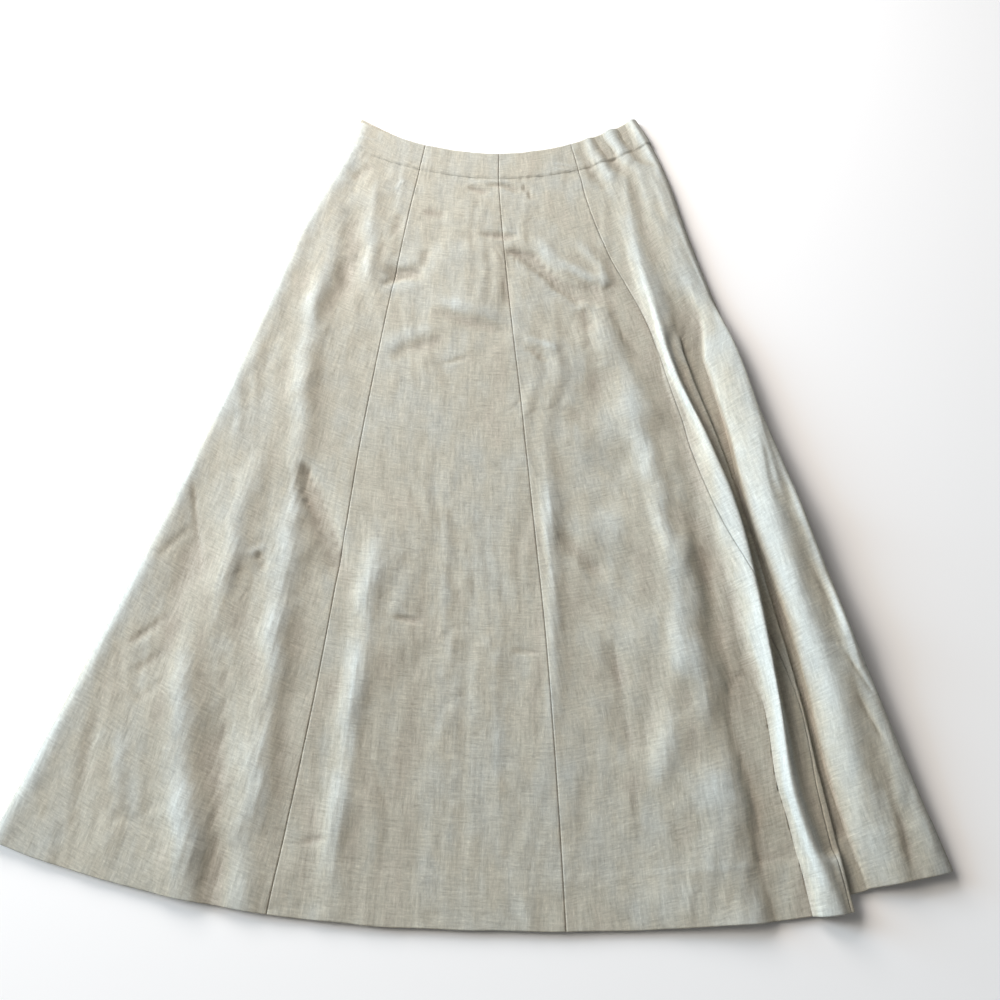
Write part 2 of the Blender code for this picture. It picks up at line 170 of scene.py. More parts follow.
# The deep fold: a crest, a tuck laid under it and a second roll
FOLD_COLUMNS = (
    "down", "folded", "flank_x", "crest_x", "crest_z", "foot_x", "lip_x", "tuck_depth",
    "rise_x", "rise_z", "roll_x", "roll_z", "valley_z", "seam_past_crest",
)
FOLD_SECTIONS = (
    (0.00, 0.0, 0.110, 0.138, 0.0054, 0.143, 0.148, 0.000, 0.152, 0.0053, 0.156, 0.0054, 0.0052, -0.050),
    (0.05, 0.0, 0.122, 0.146, 0.0064, 0.150, 0.155, 0.000, 0.162, 0.0060, 0.168, 0.0066, 0.0060, -0.050),
    (0.12, 0.0, 0.132, 0.153, 0.0078, 0.158, 0.164, 0.000, 0.169, 0.0068, 0.178, 0.0082, 0.0063, -0.045),
    (0.20, 0.0, 0.143, 0.159, 0.0096, 0.165, 0.173, 0.002, 0.181, 0.0078, 0.193, 0.0094, 0.0078, -0.033),
    (0.30, 0.10, 0.158, 0.173, 0.0116, 0.180, 0.192, 0.008, 0.206, 0.0080, 0.224, 0.0110, 0.0080, -0.016),
    (0.40, 1.00, 0.174, 0.189, 0.0128, 0.194, 0.206, 0.014, 0.227, 0.0070, 0.256, 0.0148, 0.0045, -0.012),
    (0.50, 1.0, 0.193, 0.215, 0.0162, 0.219, 0.228, 0.014, 0.242, 0.0110, 0.266, 0.0192, 0.0040, -0.020),
    (0.60, 1.0, 0.204, 0.236, 0.0198, 0.240, 0.246, 0.015, 0.251, 0.0130, 0.268, 0.0235, 0.0040, -0.017),
    (0.70, 1.0, 0.222, 0.2455, 0.0205, 0.250, 0.261, 0.022, 0.268, 0.0125, 0.281, 0.0230, 0.0040, 0.008),
    (0.80, 1.0, 0.240, 0.252, 0.0180, 0.258, 0.275, 0.027, 0.283, 0.0095, 0.299, 0.0205, 0.0040, 0.0265),
    (0.90, 1.0, 0.243, 0.256, 0.0155, 0.270, 0.284, 0.030, 0.294, 0.0075, 0.312, 0.0160, 0.0040, 0.0256),
    (1.00, 1.0, 0.258, 0.282, 0.0128, 0.288, 0.294, 0.029, 0.312, 0.0046, 0.334, 0.0095, 0.0040, 0.0096),
)

# Main ridges (height above 0) and troughs (below 0), as in the solids
CREASE_COLUMNS = ("from_x", "from_y", "to_x", "to_y", "bow", "half_width", "height")
MAIN_CREASES = {
    "left hip ridge": (-0.150, 0.440, -0.150, 0.230, -0.002, 0.009, 0.0016),
    "left hip trough": (-0.168, 0.395, -0.178, 0.225, -0.001, 0.013, -0.0023),
    "left long ridge": (-0.191, 0.345, -0.197, -0.010, -0.017, 0.013, 0.0038),
    "left lower ridge": (-0.202, 0.040, -0.219, -0.420, -0.002, 0.014, 0.0046),
    "pocket below the left pucker": (-0.206, 0.050, -0.146, -0.100, -0.003, 0.012, -0.0034),
    "far left ridge": (-0.250, 0.070, -0.270, -0.175, -0.004, 0.013, 0.0032),
    "far left trough": (-0.300, 0.050, -0.322, -0.200, 0.004, 0.013, -0.0022),
    "ridge beside the left seam": (-0.118, 0.010, -0.147, -0.420, -0.001, 0.012, 0.0036),
    "swell right of the left seam": (-0.098, 0.010, -0.124, -0.400, -0.001, 0.022, 0.0022),
    "right middle ridge": (0.140, 0.110, 0.172, -0.200, 0.012, 0.013, 0.0048),
    "right middle ridge, foot": (0.176, -0.110, 0.128, -0.310, 0.004, 0.013, 0.0028),
    "swell beside the crest": (0.184, -0.060, 0.221, -0.620, 0.000, 0.026, 0.0052),
    "trough beside the crest": (0.214, -0.030, 0.252, -0.470, 0.004, 0.018, -0.0030),
    "broad swell on the right": (0.128, 0.260, 0.182, -0.620, 0.000, 0.045, 0.0040),
    "swell left of the crest": (0.108, 0.240, 0.158, 0.060, 0.000, 0.020, 0.0020),
    "trough left of the crest": (0.116, 0.330, 0.214, -0.010, 0.009, 0.020, -0.0034),
    "left corner ridge": (-0.297, -0.095, -0.260, -0.360, -0.008, 0.014, 0.0032),
    "left corner ridge, foot": (-0.268, -0.230, -0.262, -0.450, 0.000, 0.021, 0.0040),
    "left corner trough": (-0.262, -0.190, -0.234, -0.430, 0.000, 0.011, -0.0022),
    "belly hollow": (-0.140, 0.284, -0.082, 0.280, 0.000, 0.010, -0.0026),
    "belly slant": (0.012, 0.330, 0.134, 0.240, -0.016, 0.009, -0.0032),
    "ridge over the belly slant": (0.040, 0.335, 0.128, 0.268, -0.012, 0.008, 0.0020),
    "belly ridge": (-0.085, 0.246, 0.006, 0.215, 0.003, 0.010, 0.0012),
    "belly band": (-0.135, 0.178, -0.050, 0.210, 0.003, 0.012, 0.0010),
    "pucker beside the right seam": (0.118, 0.266, 0.152, 0.236, 0.000, 0.006, -0.0030),
    "centre streak": (0.042, 0.100, 0.042, -0.280, 0.010, 0.008, 0.0020),
    "right edge ridge": (0.280, 0.070, 0.335, -0.210, 0.006, 0.007, 0.0036),
}

# Small creases that the cloth alone has
SMALL_CREASES = {
    "dip right of the centre": (0.104, 0.180, 0.128, 0.000, 0.000, 0.024, -0.0026),
    "belly swell": (-0.045, 0.340, -0.038, 0.200, 0.000, 0.030, 0.0022),
    "dip below the pucker": (0.128, 0.290, 0.160, 0.120, 0.000, 0.014, -0.0020),
    "low dip on the right": (0.133, -0.170, 0.142, -0.310, 0.000, 0.018, -0.0018),
    "waist tuck left of centre": (-0.041, 0.411, -0.011, 0.400, 0.000, 0.0038, -0.0016),
    "waist tuck at the centre": (-0.016, 0.416, 0.030, 0.399, 0.003, 0.0045, -0.0014),
    "waist tuck right of centre": (0.028, 0.415, 0.042, 0.387, 0.000, 0.0038, -0.0014),
    "ridge over the waist tucks": (-0.039, 0.421, 0.015, 0.416, 0.000, 0.0037, 0.0009),
    "hollow under the casing": (-0.181, 0.418, -0.155, 0.447, 0.000, 0.0067, -0.0013),
    "hook by the left seam": (-0.128, 0.402, -0.115, 0.423, 0.001, 0.0028, 0.0006),
    "hollow right of the left seam": (-0.094, 0.373, -0.061, 0.364, 0.000, 0.0062, -0.0009),
    "hollow left of the left seam": (-0.121, 0.371, -0.125, 0.329, 0.000, 0.0060, -0.0008),
    "dip below the gathers": (0.171, 0.410, 0.185, 0.334, 0.000, 0.0059, -0.0010),
    "ridge below the gathers": (0.185, 0.433, 0.209, 0.339, 0.000, 0.0059, 0.0011),
    "first line of the crest": (0.158, 0.389, 0.166, 0.296, 0.000, 0.0047, 0.0009),
    "upper right diagonal": (0.191, 0.347, 0.265, 0.105, -0.008, 0.0089, 0.0015),
    "left pucker": (-0.203, 0.044, -0.190, -0.020, 0.000, 0.0050, -0.0032),
    "edge of the left pucker": (-0.212, 0.040, -0.205, -0.030, 0.000, 0.0040, 0.0012),
    "left pocket, lower": (-0.180, -0.010, -0.150, -0.085, 0.000, 0.0080, -0.0014),
    "far left line": (-0.318, 0.035, -0.286, -0.106, 0.000, 0.0032, -0.0008),
    "left edge wrinkle, first": (-0.354, -0.153, -0.314, -0.118, 0.000, 0.0039, -0.0009),
    "left edge wrinkle, second": (-0.345, -0.180, -0.307, -0.149, 0.000, 0.0034, -0.0008),
    "left edge wrinkle, third": (-0.338, -0.206, -0.308, -0.177, 0.000, 0.0034, -0.0007),
    "left edge wrinkle, fourth": (-0.342, -0.068, -0.303, -0.026, 0.000, 0.0047, -0.0007),
    "left knot": (-0.242, -0.056, -0.228, -0.080, 0.002, 0.0043, -0.0011),
    "left knot ridge": (-0.250, -0.064, -0.229, -0.047, 0.000, 0.0038, 0.0008),
    "low crease by the left seam": (-0.173, -0.321, -0.143, -0.314, 0.000, 0.0025, -0.0011),
    "low left streak": (-0.259, -0.145, -0.244, -0.351, 0.003, 0.0042, -0.0009),
    "second low left streak": (-0.219, -0.164, -0.214, -0.363, 0.000, 0.0041, -0.0007),
    "streak left of the centre": (-0.053, 0.031, -0.059, -0.252, 0.004, 0.0049, 0.0006),
    "low centre streak": (-0.009, -0.126, -0.003, -0.363, 0.003, 0.0051, 0.0005),
    "low centre trough": (-0.029, -0.145, -0.034, -0.363, 0.000, 0.0050, -0.0006),
    "right low streak": (0.106, -0.106, 0.118, -0.363, 0.003, 0.0051, -0.0007),
    "dark band beside the ridge": (0.196, -0.035, 0.218, -0.301, 0.004, 0.0082, -0.0016),
    "band foot": (0.216, -0.270, 0.230, -0.364, 0.000, 0.0054, -0.0010),
    "ridge left of the crest": (0.205, -0.024, 0.234, -0.333, 0.002, 0.0054, 0.0009),
    "right edge wrinkle, first": (0.316, -0.152, 0.342, -0.205, 0.000, 0.0029, -0.0013),
    "right edge wrinkle, second": (0.321, -0.192, 0.343, -0.241, 0.000, 0.0028, -0.0011),
    "right edge wrinkle, third": (0.297, -0.067, 0.321, -0.146, 0.002, 0.0037, -0.0010),
    "right shoulder wrinkle": (0.273, 0.201, 0.304, 0.030, 0.000, 0.0047, -0.0013),
    "upper right wrinkle, first": (0.198, 0.271, 0.214, 0.219, 0.000, 0.0038, -0.0015),
    "dark line left of the crest": (0.134, 0.262, 0.214, 0.040, 0.006, 0.0085, -0.0034),
    "dark band right of the fold": (0.224, 0.215, 0.268, -0.035, 0.004, 0.0125, -0.0052),
    "ridge right of the middle one": (0.178, 0.085, 0.186, -0.240, 0.004, 0.0100, 0.0030),
    "trough beside the crest, low": (0.222, -0.160, 0.250, -0.440, 0.002, 0.0150, -0.0065),
    "dark line down the right edge": (0.300, 0.060, 0.345, -0.180, 0.000, 0.0080, -0.0016),
    "upper right wrinkle, second": (0.214, 0.262, 0.236, 0.190, 0.000, 0.0044, -0.0017),
    "upper right wrinkle, third": (0.228, 0.238, 0.262, 0.140, 0.002, 0.0050, 0.0016),
    "upper right wrinkle, fourth": (0.240, 0.168, 0.262, 0.080, 0.000, 0.0046, -0.0015),
    "upper right wrinkle, fifth": (0.262, 0.120, 0.285, -0.020, 0.000, 0.0052, 0.0014),
    "right shoulder wrinkle, upper": (0.239, 0.313, 0.273, 0.188, 0.000, 0.0052, -0.0012),
    "right corner streak": (0.338, -0.252, 0.349, -0.348, 0.000, 0.0046, -0.0010),
    "right corner ridge": (0.320, -0.252, 0.325, -0.348, 0.000, 0.0047, 0.0009),
    "left corner streak": (-0.366, -0.200, -0.370, -0.333, 0.000, 0.0057, -0.0010),
    "left corner fold": (-0.341, -0.218, -0.338, -0.339, 0.002, 0.0056, 0.0010),
    "left arm of the belly hollow": (-0.138, 0.263, -0.098, 0.284, 0.000, 0.0059, -0.0020),
    "upright of the belly hollow": (-0.085, 0.317, -0.088, 0.285, 0.000, 0.0057, -0.0012),
    "belly dash at the centre seam": (-0.026, 0.338, 0.024, 0.332, 0.000, 0.0053, -0.0019),
    "belly dash below it": (0.006, 0.312, 0.034, 0.306, 0.000, 0.0047, -0.0014),
    "upper run of the belly slant": (0.032, 0.318, 0.064, 0.266, 0.000, 0.0066, -0.0021),
    "lower run of the belly slant": (0.055, 0.273, 0.098, 0.233, 0.000, 0.0061, -0.0019),
    "second belly slant": (0.072, 0.288, 0.123, 0.251, 0.000, 0.0060, -0.0021),
    "ridge between the slants": (0.087, 0.338, 0.132, 0.246, 0.004, 0.0067, 0.0013),
    "upright left of the centre seam": (0.003, 0.275, 0.013, 0.230, 0.000, 0.0055, -0.0011),
    "dark belly band": (-0.075, 0.232, 0.020, 0.197, -0.003, 0.0081, -0.0016),
    "dark belly band, left": (-0.128, 0.162, -0.058, 0.191, 0.002, 0.0089, -0.0013),
    "thin line under the bands": (-0.065, 0.158, -0.032, 0.168, 0.000, 0.0033, -0.0010),
    "arc right of the centre seam": (0.023, 0.194, 0.069, 0.173, 0.003, 0.0045, 0.0011),
    "second arc right of the centre seam": (0.029, 0.182, 0.055, 0.159, 0.000, 0.0035, -0.0010),
    "brown dip under the slant": (0.089, 0.234, 0.110, 0.197, 0.000, 0.0075, -0.0011),
    "brown dip, lower": (0.096, 0.195, 0.112, 0.156, 0.000, 0.0074, -0.0009),
    "shadow below the pucker": (0.137, 0.247, 0.145, 0.182, 0.000, 0.0079, -0.0016),
    "slanting dip on the right": (0.056, -0.027, 0.107, -0.094, 0.000, 0.0080, -0.0015),
    "slanting dip on the right, upper": (0.072, 0.115, 0.115, 0.038, 0.000, 0.0113, -0.0013),
    "chevron, first": (-0.055, -0.065, -0.030, -0.122, 0.000, 0.0040, -0.0007),
    "chevron, second": (-0.015, -0.135, 0.002, -0.172, 0.000, 0.0033, 0.0006),
    "chevron, third": (-0.074, -0.116, -0.082, -0.175, 0.000, 0.0038, 0.0007),
    "chevron, fourth": (-0.048, -0.118, -0.042, -0.191, 0.000, 0.0028, 0.0006),
    "crosswise nick left": (-0.105, -0.122, -0.072, -0.128, 0.000, 0.0029, -0.0010),
    "crosswise nick": (0.011, -0.155, 0.038, -0.158, 0.000, 0.0028, -0.0008),
    "slant at the lower right": (0.092, -0.124, 0.118, -0.193, 0.000, 0.0064, -0.0011),
    "slant at the lower right, second": (0.105, -0.192, 0.118, -0.253, 0.000, 0.0060, -0.0009),
    "ridge beside the centre seam": (0.048, 0.012, 0.052, -0.120, 0.000, 0.0032, 0.0008),
}

# Creases inside the casing and through its lower line
CASING_CREASES = {
    "wrinkle, upper": (0.060, 0.448, 0.096, 0.442, 0.000, 0.0015, 0.0004),
    "wrinkle, lower": (0.062, 0.439, 0.099, 0.435, 0.000, 0.0015, 0.0004),
    "fold at the left end, upper": (-0.188, 0.492, -0.151, 0.483, 0.000, 0.0018, 0.0007),
    "fold at the left end, lower": (-0.184, 0.475, -0.158, 0.470, 0.000, 0.0015, 0.0005),
    "first gather": (0.095, 0.475, 0.114, 0.443, 0.000, 0.0047, -0.0009),
    "second gather": (0.131, 0.485, 0.157, 0.421, 0.000, 0.0069, -0.0015),
    "third gather": (0.114, 0.437, 0.131, 0.402, 0.000, 0.0058, -0.0011),
    "fourth gather": (0.147, 0.502, 0.177, 0.443, 0.000, 0.0062, -0.0012),
    "fifth gather": (0.169, 0.456, 0.202, 0.437, 0.000, 0.0046, -0.0012),
    "ridge between the gathers": (0.120, 0.470, 0.142, 0.411, 0.000, 0.0061, 0.0009),
}

# Rumples of the cloth
RUMPLE_COLUMNS = ("pitch_across", "pitch_along", "height", "seed")
RUMPLES = {
    "slow waves": (0.060, 0.110, 0.00070, 11),
    "lengthwise streaks": (0.016, 0.120, 0.00070, 23),
    "soft crumple": (0.020, 0.026, 0.00036, 37),
    "fine crumple": (0.0075, 0.0095, 0.00012, 53),
}

# Pitches of the patches where rumples are strong, of their bending, and of the dents among them
PATCH_PITCH = (0.11, 0.13)
PATCH_RANGE = (0.25, 1.3)
BEND_PITCH = 0.09
BEND_REACH = 0.9
DENT_PITCH = (0.055, 0.050)
DENT_PATCH_PITCH = 0.07
DENT_DEPTH = 0.00032
DENT_WIDTH = 0.09
CASING_CALM = 0.55
RUMPLE_SIZE = 256
RUMPLE_GAIN = 1.6

# Wavering of the creases: shares of the width and height, waves in radians a metre, share faded at an end
CREASE_WAVER = 0.13
CREASE_SWELL = 0.24
WAVER_WAVES = (61.0, 113.0)
SWELL_WAVES = 55.0
CREASE_FADE = 0.3

# Where creases fade in: away from the fold in stations, from the side edges in metres, down in shares
FOLD_FADE = (0.05, 0.7)
LEFT_EDGE_FADE = 0.012
RIGHT_EDGE_FADE = 0.010
MAIN_CREASES_FROM = (0.03, 0.08)
SMALL_CREASES_FROM = (0.047, 0.060)
RUMPLES_FROM = (0.03, 0.07)

# How crests are told from hollows, for the painted light on crests and the painted shade in hollows: share,
# reach of the average and height that counts as full
CREST_SCALES = ((0.62, 0.016, 0.0024), (0.38, 0.005, 0.0005))
CREST_COLUMNS = 700
BELL_CUT = 2.5
LENGTHWISE_REACH = 1.4

# Fineness of the grids
CURVE_STEPS = 30
TURN_WEIGHT = 0.008
BODY_ROWS = 458
CASING_ROWS = 26
HEM_ROWS = 30
GORE_COLUMNS = {
    "front_left_side_gore": 133,
    "front_left_centre_gore": 125,
    "front_right_centre_gore": 131,
    "front_right_side_gore": 147,
}
ROW_CHANGE = 0.004
SEAM_COLUMNS = (0.0, 0.0003, 0.0007, 0.0012, 0.0019, 0.0028, 0.0040)
EDGE_ROWS = (0.0, 0.00012, 0.00035, 0.0007, 0.0011, 0.0018)

# Numbers of the stations along each crosswise section
LEFT_SEAM_STATION = 4
CENTRE_SEAM_STATION = 5
CREST_STATION = 8
LIP_STATION = 10
RISE_STATION = 16
ROLL_STATION = 17


def smooth_step(low, high, value):
    """0 below low, 1 above high, and an S-shaped rise between them."""
    part = np.clip((value - low) / (high - low), 0.0, 1.0)
    return part * part * (3.0 - 2.0 * part)


def table_column(columns, rows, name, down):
    """One column of a table at each distance down: a smooth curve through its rows."""
    table = np.array(rows)
    at = table[:, 0]
    value = table[:, columns.index(name)]
    slope = np.gradient(value, at)
    row = np.clip(np.searchsorted(at, down, side="right") - 1, 0, len(at) - 2)
    width = at[row + 1] - at[row]
    part = (down - at[row]) / width
    rise = part * part * (3.0 - 2.0 * part)
    leave = part * (1.0 - part) ** 2 * width * slope[row]
    arrive = part * part * (1.0 - part) * width * slope[row + 1]
    return value[row] * (1.0 - rise) + value[row + 1] * rise + leave - arrive


def layers_at(down, cloth, casing, hem):
    """A thickness that changes from the casing's to the cloth's to the hem's."""
    in_casing = 1.0 - smooth_step(CASING_ENDS - CASING_STEP, CASING_ENDS, down)
    in_hem = smooth_step(HEM_TURN_UP_STARTS, HEM_TURN_UP_STARTS + HEM_STEP, down)
    return cloth + (casing - cloth) * in_casing + (hem - cloth) * in_hem


def plan_y(across, down, lift=0.0):
    """Y of a point at a share across the skirt and a share down it."""
    top_x = WAIST_LEFT_X + (WAIST_RIGHT_X - WAIST_LEFT_X) * across
    hem_x = HEM_LEFT_X + (HEM_RIGHT_X - HEM_LEFT_X) * across
    top_y = TOP_EDGE_Y + TOP_EDGE_DIP * top_x * top_x
    top_y = top_y - LEFT_TOP_DROP * (1.0 - smooth_step(0.0, LEFT_DROP_REACH, across))
    hem_y = HEM_Y + HEM_RISE * (np.abs(hem_x - HEM_LOWEST_X) / HEM_REACH) ** HEM_POWER
    return top_y + (hem_y + lift - top_y) * down


def front_stations(down):
    """(sections, stations, 2): x and z of the named stations of each crosswise section."""
    section = {name: table_column(SECTION_COLUMNS, SECTIONS, name, down) for name in SECTION_COLUMNS}
    fold = {name: table_column(FOLD_COLUMNS, FOLD_SECTIONS, name, down) for name in FOLD_COLUMNS}
    folded = np.clip(fold["folded"], 0.0, 1.0)
    wall = layers_at(down, CLOTH_WALL, CASING_WALL, HEM_WALL)
    lie = section["lie"]
    foot_z = wall + SEAM_GAP
    shoulder_z = lie + SHOULDER_RISE
    right_shoulder_z = shoulder_z + RIGHT_EDGE_LIFT * np.maximum(fold["roll_z"] - shoulder_z, 0.0)
    floor_z = wall + LAYER_GAP + wall / 2
    under_z = floor_z + wall + TUCK_GAP
    strip_z = under_z + wall + TUCK_GAP
    turn = (strip_z - under_z) / 2
    tuck_x = fold["lip_x"] - fold["tuck_depth"]
    tuck = (
        (np.minimum(fold["foot_x"], fold["lip_x"] - turn * TURN_BULGE), strip_z + CREST_FOOT_LIFT),
        (fold["lip_x"], strip_z - turn),
        (fold["lip_x"] - turn * TURN_BULGE, under_z),
        (tuck_x + turn * TURN_BULGE, under_z),
        (tuck_x, under_z - turn),
        (tuck_x + turn * TURN_BULGE, floor_z),
        (fold["rise_x"] - FLOOR_RUN, floor_z),
        (fold["rise_x"], fold["rise_z"]),
    )
    between = []
    for number, (x, z) in enumerate(tuck):
        share = (number + 1) / (len(tuck) + 1)
        valley_x = fold["crest_x"] + (fold["roll_x"] - fold["crest_x"]) * share
        bank_z = fold["crest_z"] + (fold["roll_z"] - fold["crest_z"]) * share
        dip = (1.0 - np.cos(2 * np.pi * share)) / 2
        valley_z = bank_z + (fold["valley_z"] - bank_z) * dip
        between.append((valley_x + (x - valley_x) * folded**2, valley_z + (z - valley_z) * folded))
    flank_run = fold["crest_x"] - fold["flank_x"]
    slope_x = fold["flank_x"] + flank_run * FLANK_MIDDLE
    over_tuck_x = np.minimum(slope_x, tuck_x + OVER_TUCK_CLEAR)
    up_flank = smooth_step(0.0, 1.0, (over_tuck_x - fold["flank_x"]) / flank_run)
    slope_z = lie + (fold["crest_z"] - lie) * up_flank
    over_tuck_z = np.maximum(slope_z, (strip_z + OVER_TUCK) * folded)
    left, right = section["left_edge"], section["right_edge"]
    stations = [
        (left, foot_z),
        (left, foot_z + EDGE_SIDE_HEIGHT),
        (left + SHOULDER_RUN, shoulder_z),
        (left + SHOULDER_INNER_RUN, shoulder_z - SHOULDER_SAG),
        (section["left_seam"], lie),
        (section["centre_seam"], lie),
        (fold["flank_x"], lie),
        (over_tuck_x, over_tuck_z),
        (fold["crest_x"], fold["crest_z"]),
        *between,
        (fold["roll_x"], fold["roll_z"]),
        ((fold["roll_x"] + right) / 2, (fold["roll_z"] + right_shoulder_z) / 2),
        (right - SHOULDER_RUN, right_shoulder_z),
        (right, foot_z + EDGE_SIDE_HEIGHT),
        (right, foot_z),
    ]
    return np.stack([np.stack(np.broadcast_arrays(x, z), axis=-1) for x, z in stations], axis=1)


def curve_through(stations):
    """(curve, station numbers): a Catmull-Rom curve whose knots go by the square root of the gaps."""
    first = 2 * stations[:, :1] - stations[:, 1:2]
    last = 2 * stations[:, -1:] - stations[:, -2:-1]
    points = np.concatenate([first, stations, last], axis=1)
    knot_gaps = np.sqrt(np.maximum(np.linalg.norm(np.diff(points, axis=1), axis=2), 1e-7))
    part = np.arange(CURVE_STEPS) / CURVE_STEPS
    pieces = []
    for gap in range(stations.shape[1] - 1):
        p0, p1, p2, p3 = (points[:, None, gap + k] for k in range(4))
        g0, g1, g2 = (knot_gaps[:, gap + k, None, None] for k in range(3))
        along = part[None, :, None] * g1
        a1 = p1 + (p1 - p0) / g0 * along
        a2 = p1 + (p2 - p1) / g1 * along
        a3 = p2 + (p3 - p2) / g2 * (along - g1)
        b1 = a1 + (a2 - a1) * (along + g0) / (g0 + g1)
        b2 = a2 + (a3 - a2) * along / (g1 + g2)
        pieces.append(b1 + (b2 - b1) * along / g1)
    curve = np.concatenate([*pieces, stations[:, -1:]], axis=1)
    return curve, np.arange(curve.shape[1]) / CURVE_STEPS


def crease_height(creases, x, y):
    """The sum of soft ridges and troughs: a bell across each wavering line, faded at both of its ends."""
    height = np.zeros_like(x)
    for number, row in enumerate(creases.values()):
        crease = dict(zip(CREASE_COLUMNS, row))
        run_x = crease["to_x"] - crease["from_x"]
        run_y = crease["to_y"] - crease["from_y"]
        length = math.hypot(run_x, run_y)
        off_x, off_y = x - crease["from_x"], y - crease["from_y"]
        along = (off_x * run_x + off_y * run_y) / length**2
        aside = (off_y * run_x - off_x * run_y) / length
        aside = aside - crease["bow"] * 4 * along * (1 - along)
        reach = along * length
        waver = np.sin(reach * WAVER_WAVES[0] + number * 2.4)
        waver = waver + 0.6 * np.sin(reach * WAVER_WAVES[1] + number * 5.1)
        aside = aside - CREASE_WAVER * crease["half_width"] * waver
        swell = 1.0 + CREASE_SWELL * np.sin(reach * SWELL_WAVES + number * 1.3)
        ends = smooth_step(0.0, CREASE_FADE, along) * smooth_step(0.0, CREASE_FADE, 1.0 - along)
        height += crease["height"] * swell * ends * np.exp(-((aside / crease["half_width"]) ** 2))
    return height


def rumple(across, along, seed):
    """Smooth random heights, about -1 to 1: slopes drawn at whole numbers and blended between them."""
    angle = np.random.default_rng(seed).uniform(0.0, 2 * np.pi, (RUMPLE_SIZE, RUMPLE_SIZE))
    column, row = np.floor(across).astype(int), np.floor(along).astype(int)
    part_x, part_y = across - column, along - row
    ease_x = part_x**3 * (part_x * (part_x * 6 - 15) + 10)
    ease_y = part_y**3 * (part_y * (part_y * 6 - 15) + 10)

    def corner(step_x, step_y):
        turned = angle[(row + step_y) % RUMPLE_SIZE, (column + step_x) % RUMPLE_SIZE]
        return np.cos(turned) * (part_x - step_x) + np.sin(turned) * (part_y - step_y)

    near = corner(0, 0) * (1 - ease_x) + corner(1, 0) * ease_x
    far = corner(0, 1) * (1 - ease_x) + corner(1, 1) * ease_x
    return (near * (1 - ease_y) + far * ease_y) * RUMPLE_GAIN


def rumpled_height(x, y):
    """The cloth's small unevenness: the sum of the rumples, stronger in some patches than in others."""
    patch = 0.65 + 0.55 * rumple(x / PATCH_PITCH[0], y / PATCH_PITCH[1], 5)
    bend = rumple(x / BEND_PITCH, y / BEND_PITCH, 6) * BEND_REACH
    height = np.zeros_like(x)
    for row in RUMPLES.values():
        pattern = dict(zip(RUMPLE_COLUMNS, row))
        across, along = x / pattern["pitch_across"] + bend, y / pattern["pitch_along"] + bend
        height += pattern["height"] * rumple(across, along, pattern["seed"])
    line = rumple(x / DENT_PITCH[0] + bend, y / DENT_PITCH[1], 71)
    dented = smooth_step(0.0, 0.5, rumple(x / DENT_PATCH_PITCH, y / DENT_PATCH_PITCH, 72))
    dents = -DENT_DEPTH * np.exp(-((line / DENT_WIDTH) ** 2)) * dented
    return (height + dents) * np.clip(patch, *PATCH_RANGE)


def gather_height(x, down):
    """The broad slanted gathers that the elastic draws in the casing and just below it."""
    across = smooth_step(GATHER_FROM_X, GATHER_FROM_X + GATHER_RUN_IN, x)
    fade = 1.0 - smooth_step(GATHER_FULL_DOWN, GATHER_DOWN, down)
    along = (x - GATHER_FROM_X - GATHER_SLANT * down) / GATHER_PITCH
    return GATHER_HEIGHT * across * fade * np.sin(2 * np.pi * along)


def front_sections(down):
    """The front's middle surface: points, up-facing directions and length along each section."""
    stations = front_stations(down)
    curve, number = curve_through(stations)
    x, z = curve[..., 0], curve[..., 1]
    rows = down[:, None]
    left, right = stations[:, :1, 0], stations[:, -1:, 0]
    across = (x - left) / (right - left)
    under = smooth_step(LIP_STATION, RISE_STATION, number)[None, :]
    y = plan_y(across, rows, UNDER_LAYER_LIFT * under)
    at_fold, clear = FOLD_FADE
    beside_fold = 1.0 - smooth_step(CREST_STATION - clear, CREST_STATION - at_fold, number)
    beside_fold = beside_fold + smooth_step(ROLL_STATION + at_fold, ROLL_STATION + clear, number)
    wall = layers_at(rows, CLOTH_WALL, CASING_WALL, HEM_WALL)
    lowest = wall + LAYER_GAP + wall / 2
    inside = smooth_step(0.0, LEFT_EDGE_FADE, x - left) * smooth_step(0.0, RIGHT_EDGE_FADE, right - x)
    main = crease_height(MAIN_CREASES, x, y) * smooth_step(*MAIN_CREASES_FROM, rows)
    small = crease_height(SMALL_CREASES, x, y) * smooth_step(*SMALL_CREASES_FROM, rows)
    relief = (main + small) * beside_fold + crease_height(CASING_CREASES, x, y)
    relief = (relief + gather_height(x, rows)) * inside
    z = np.where(inside > 0, np.maximum(z + relief, lowest), z)
    run_x, run_z = np.gradient(x, axis=1), np.gradient(z, axis=1)
    step = np.hypot(run_x, run_z)
    length = np.cumsum(np.hypot(np.diff(x, axis=1), np.diff(z, axis=1)), axis=1)
    length = np.concatenate([np.zeros((len(down), 1)), length], axis=1)
    return {
        "x": x, "y": y, "z": z, "out_x": -run_z / step, "out_z": run_x / step,
        "length": length, "inside": inside * np.ones_like(x), "wall": wall[:, 0],
    }


def bell_average(line, reach, spacing):
    """A line of values averaged under a bell of the given reach, its ends held."""
    half = max(1, int(BELL_CUT * reach / spacing))
    bell = np.exp(-0.5 * (np.arange(-half, half + 1) * spacing / reach) ** 2)
    held = np.concatenate([np.full(half, line[0]), line, np.full(half, line[-1])])
    return np.convolve(held, bell / bell.sum(), "valid")


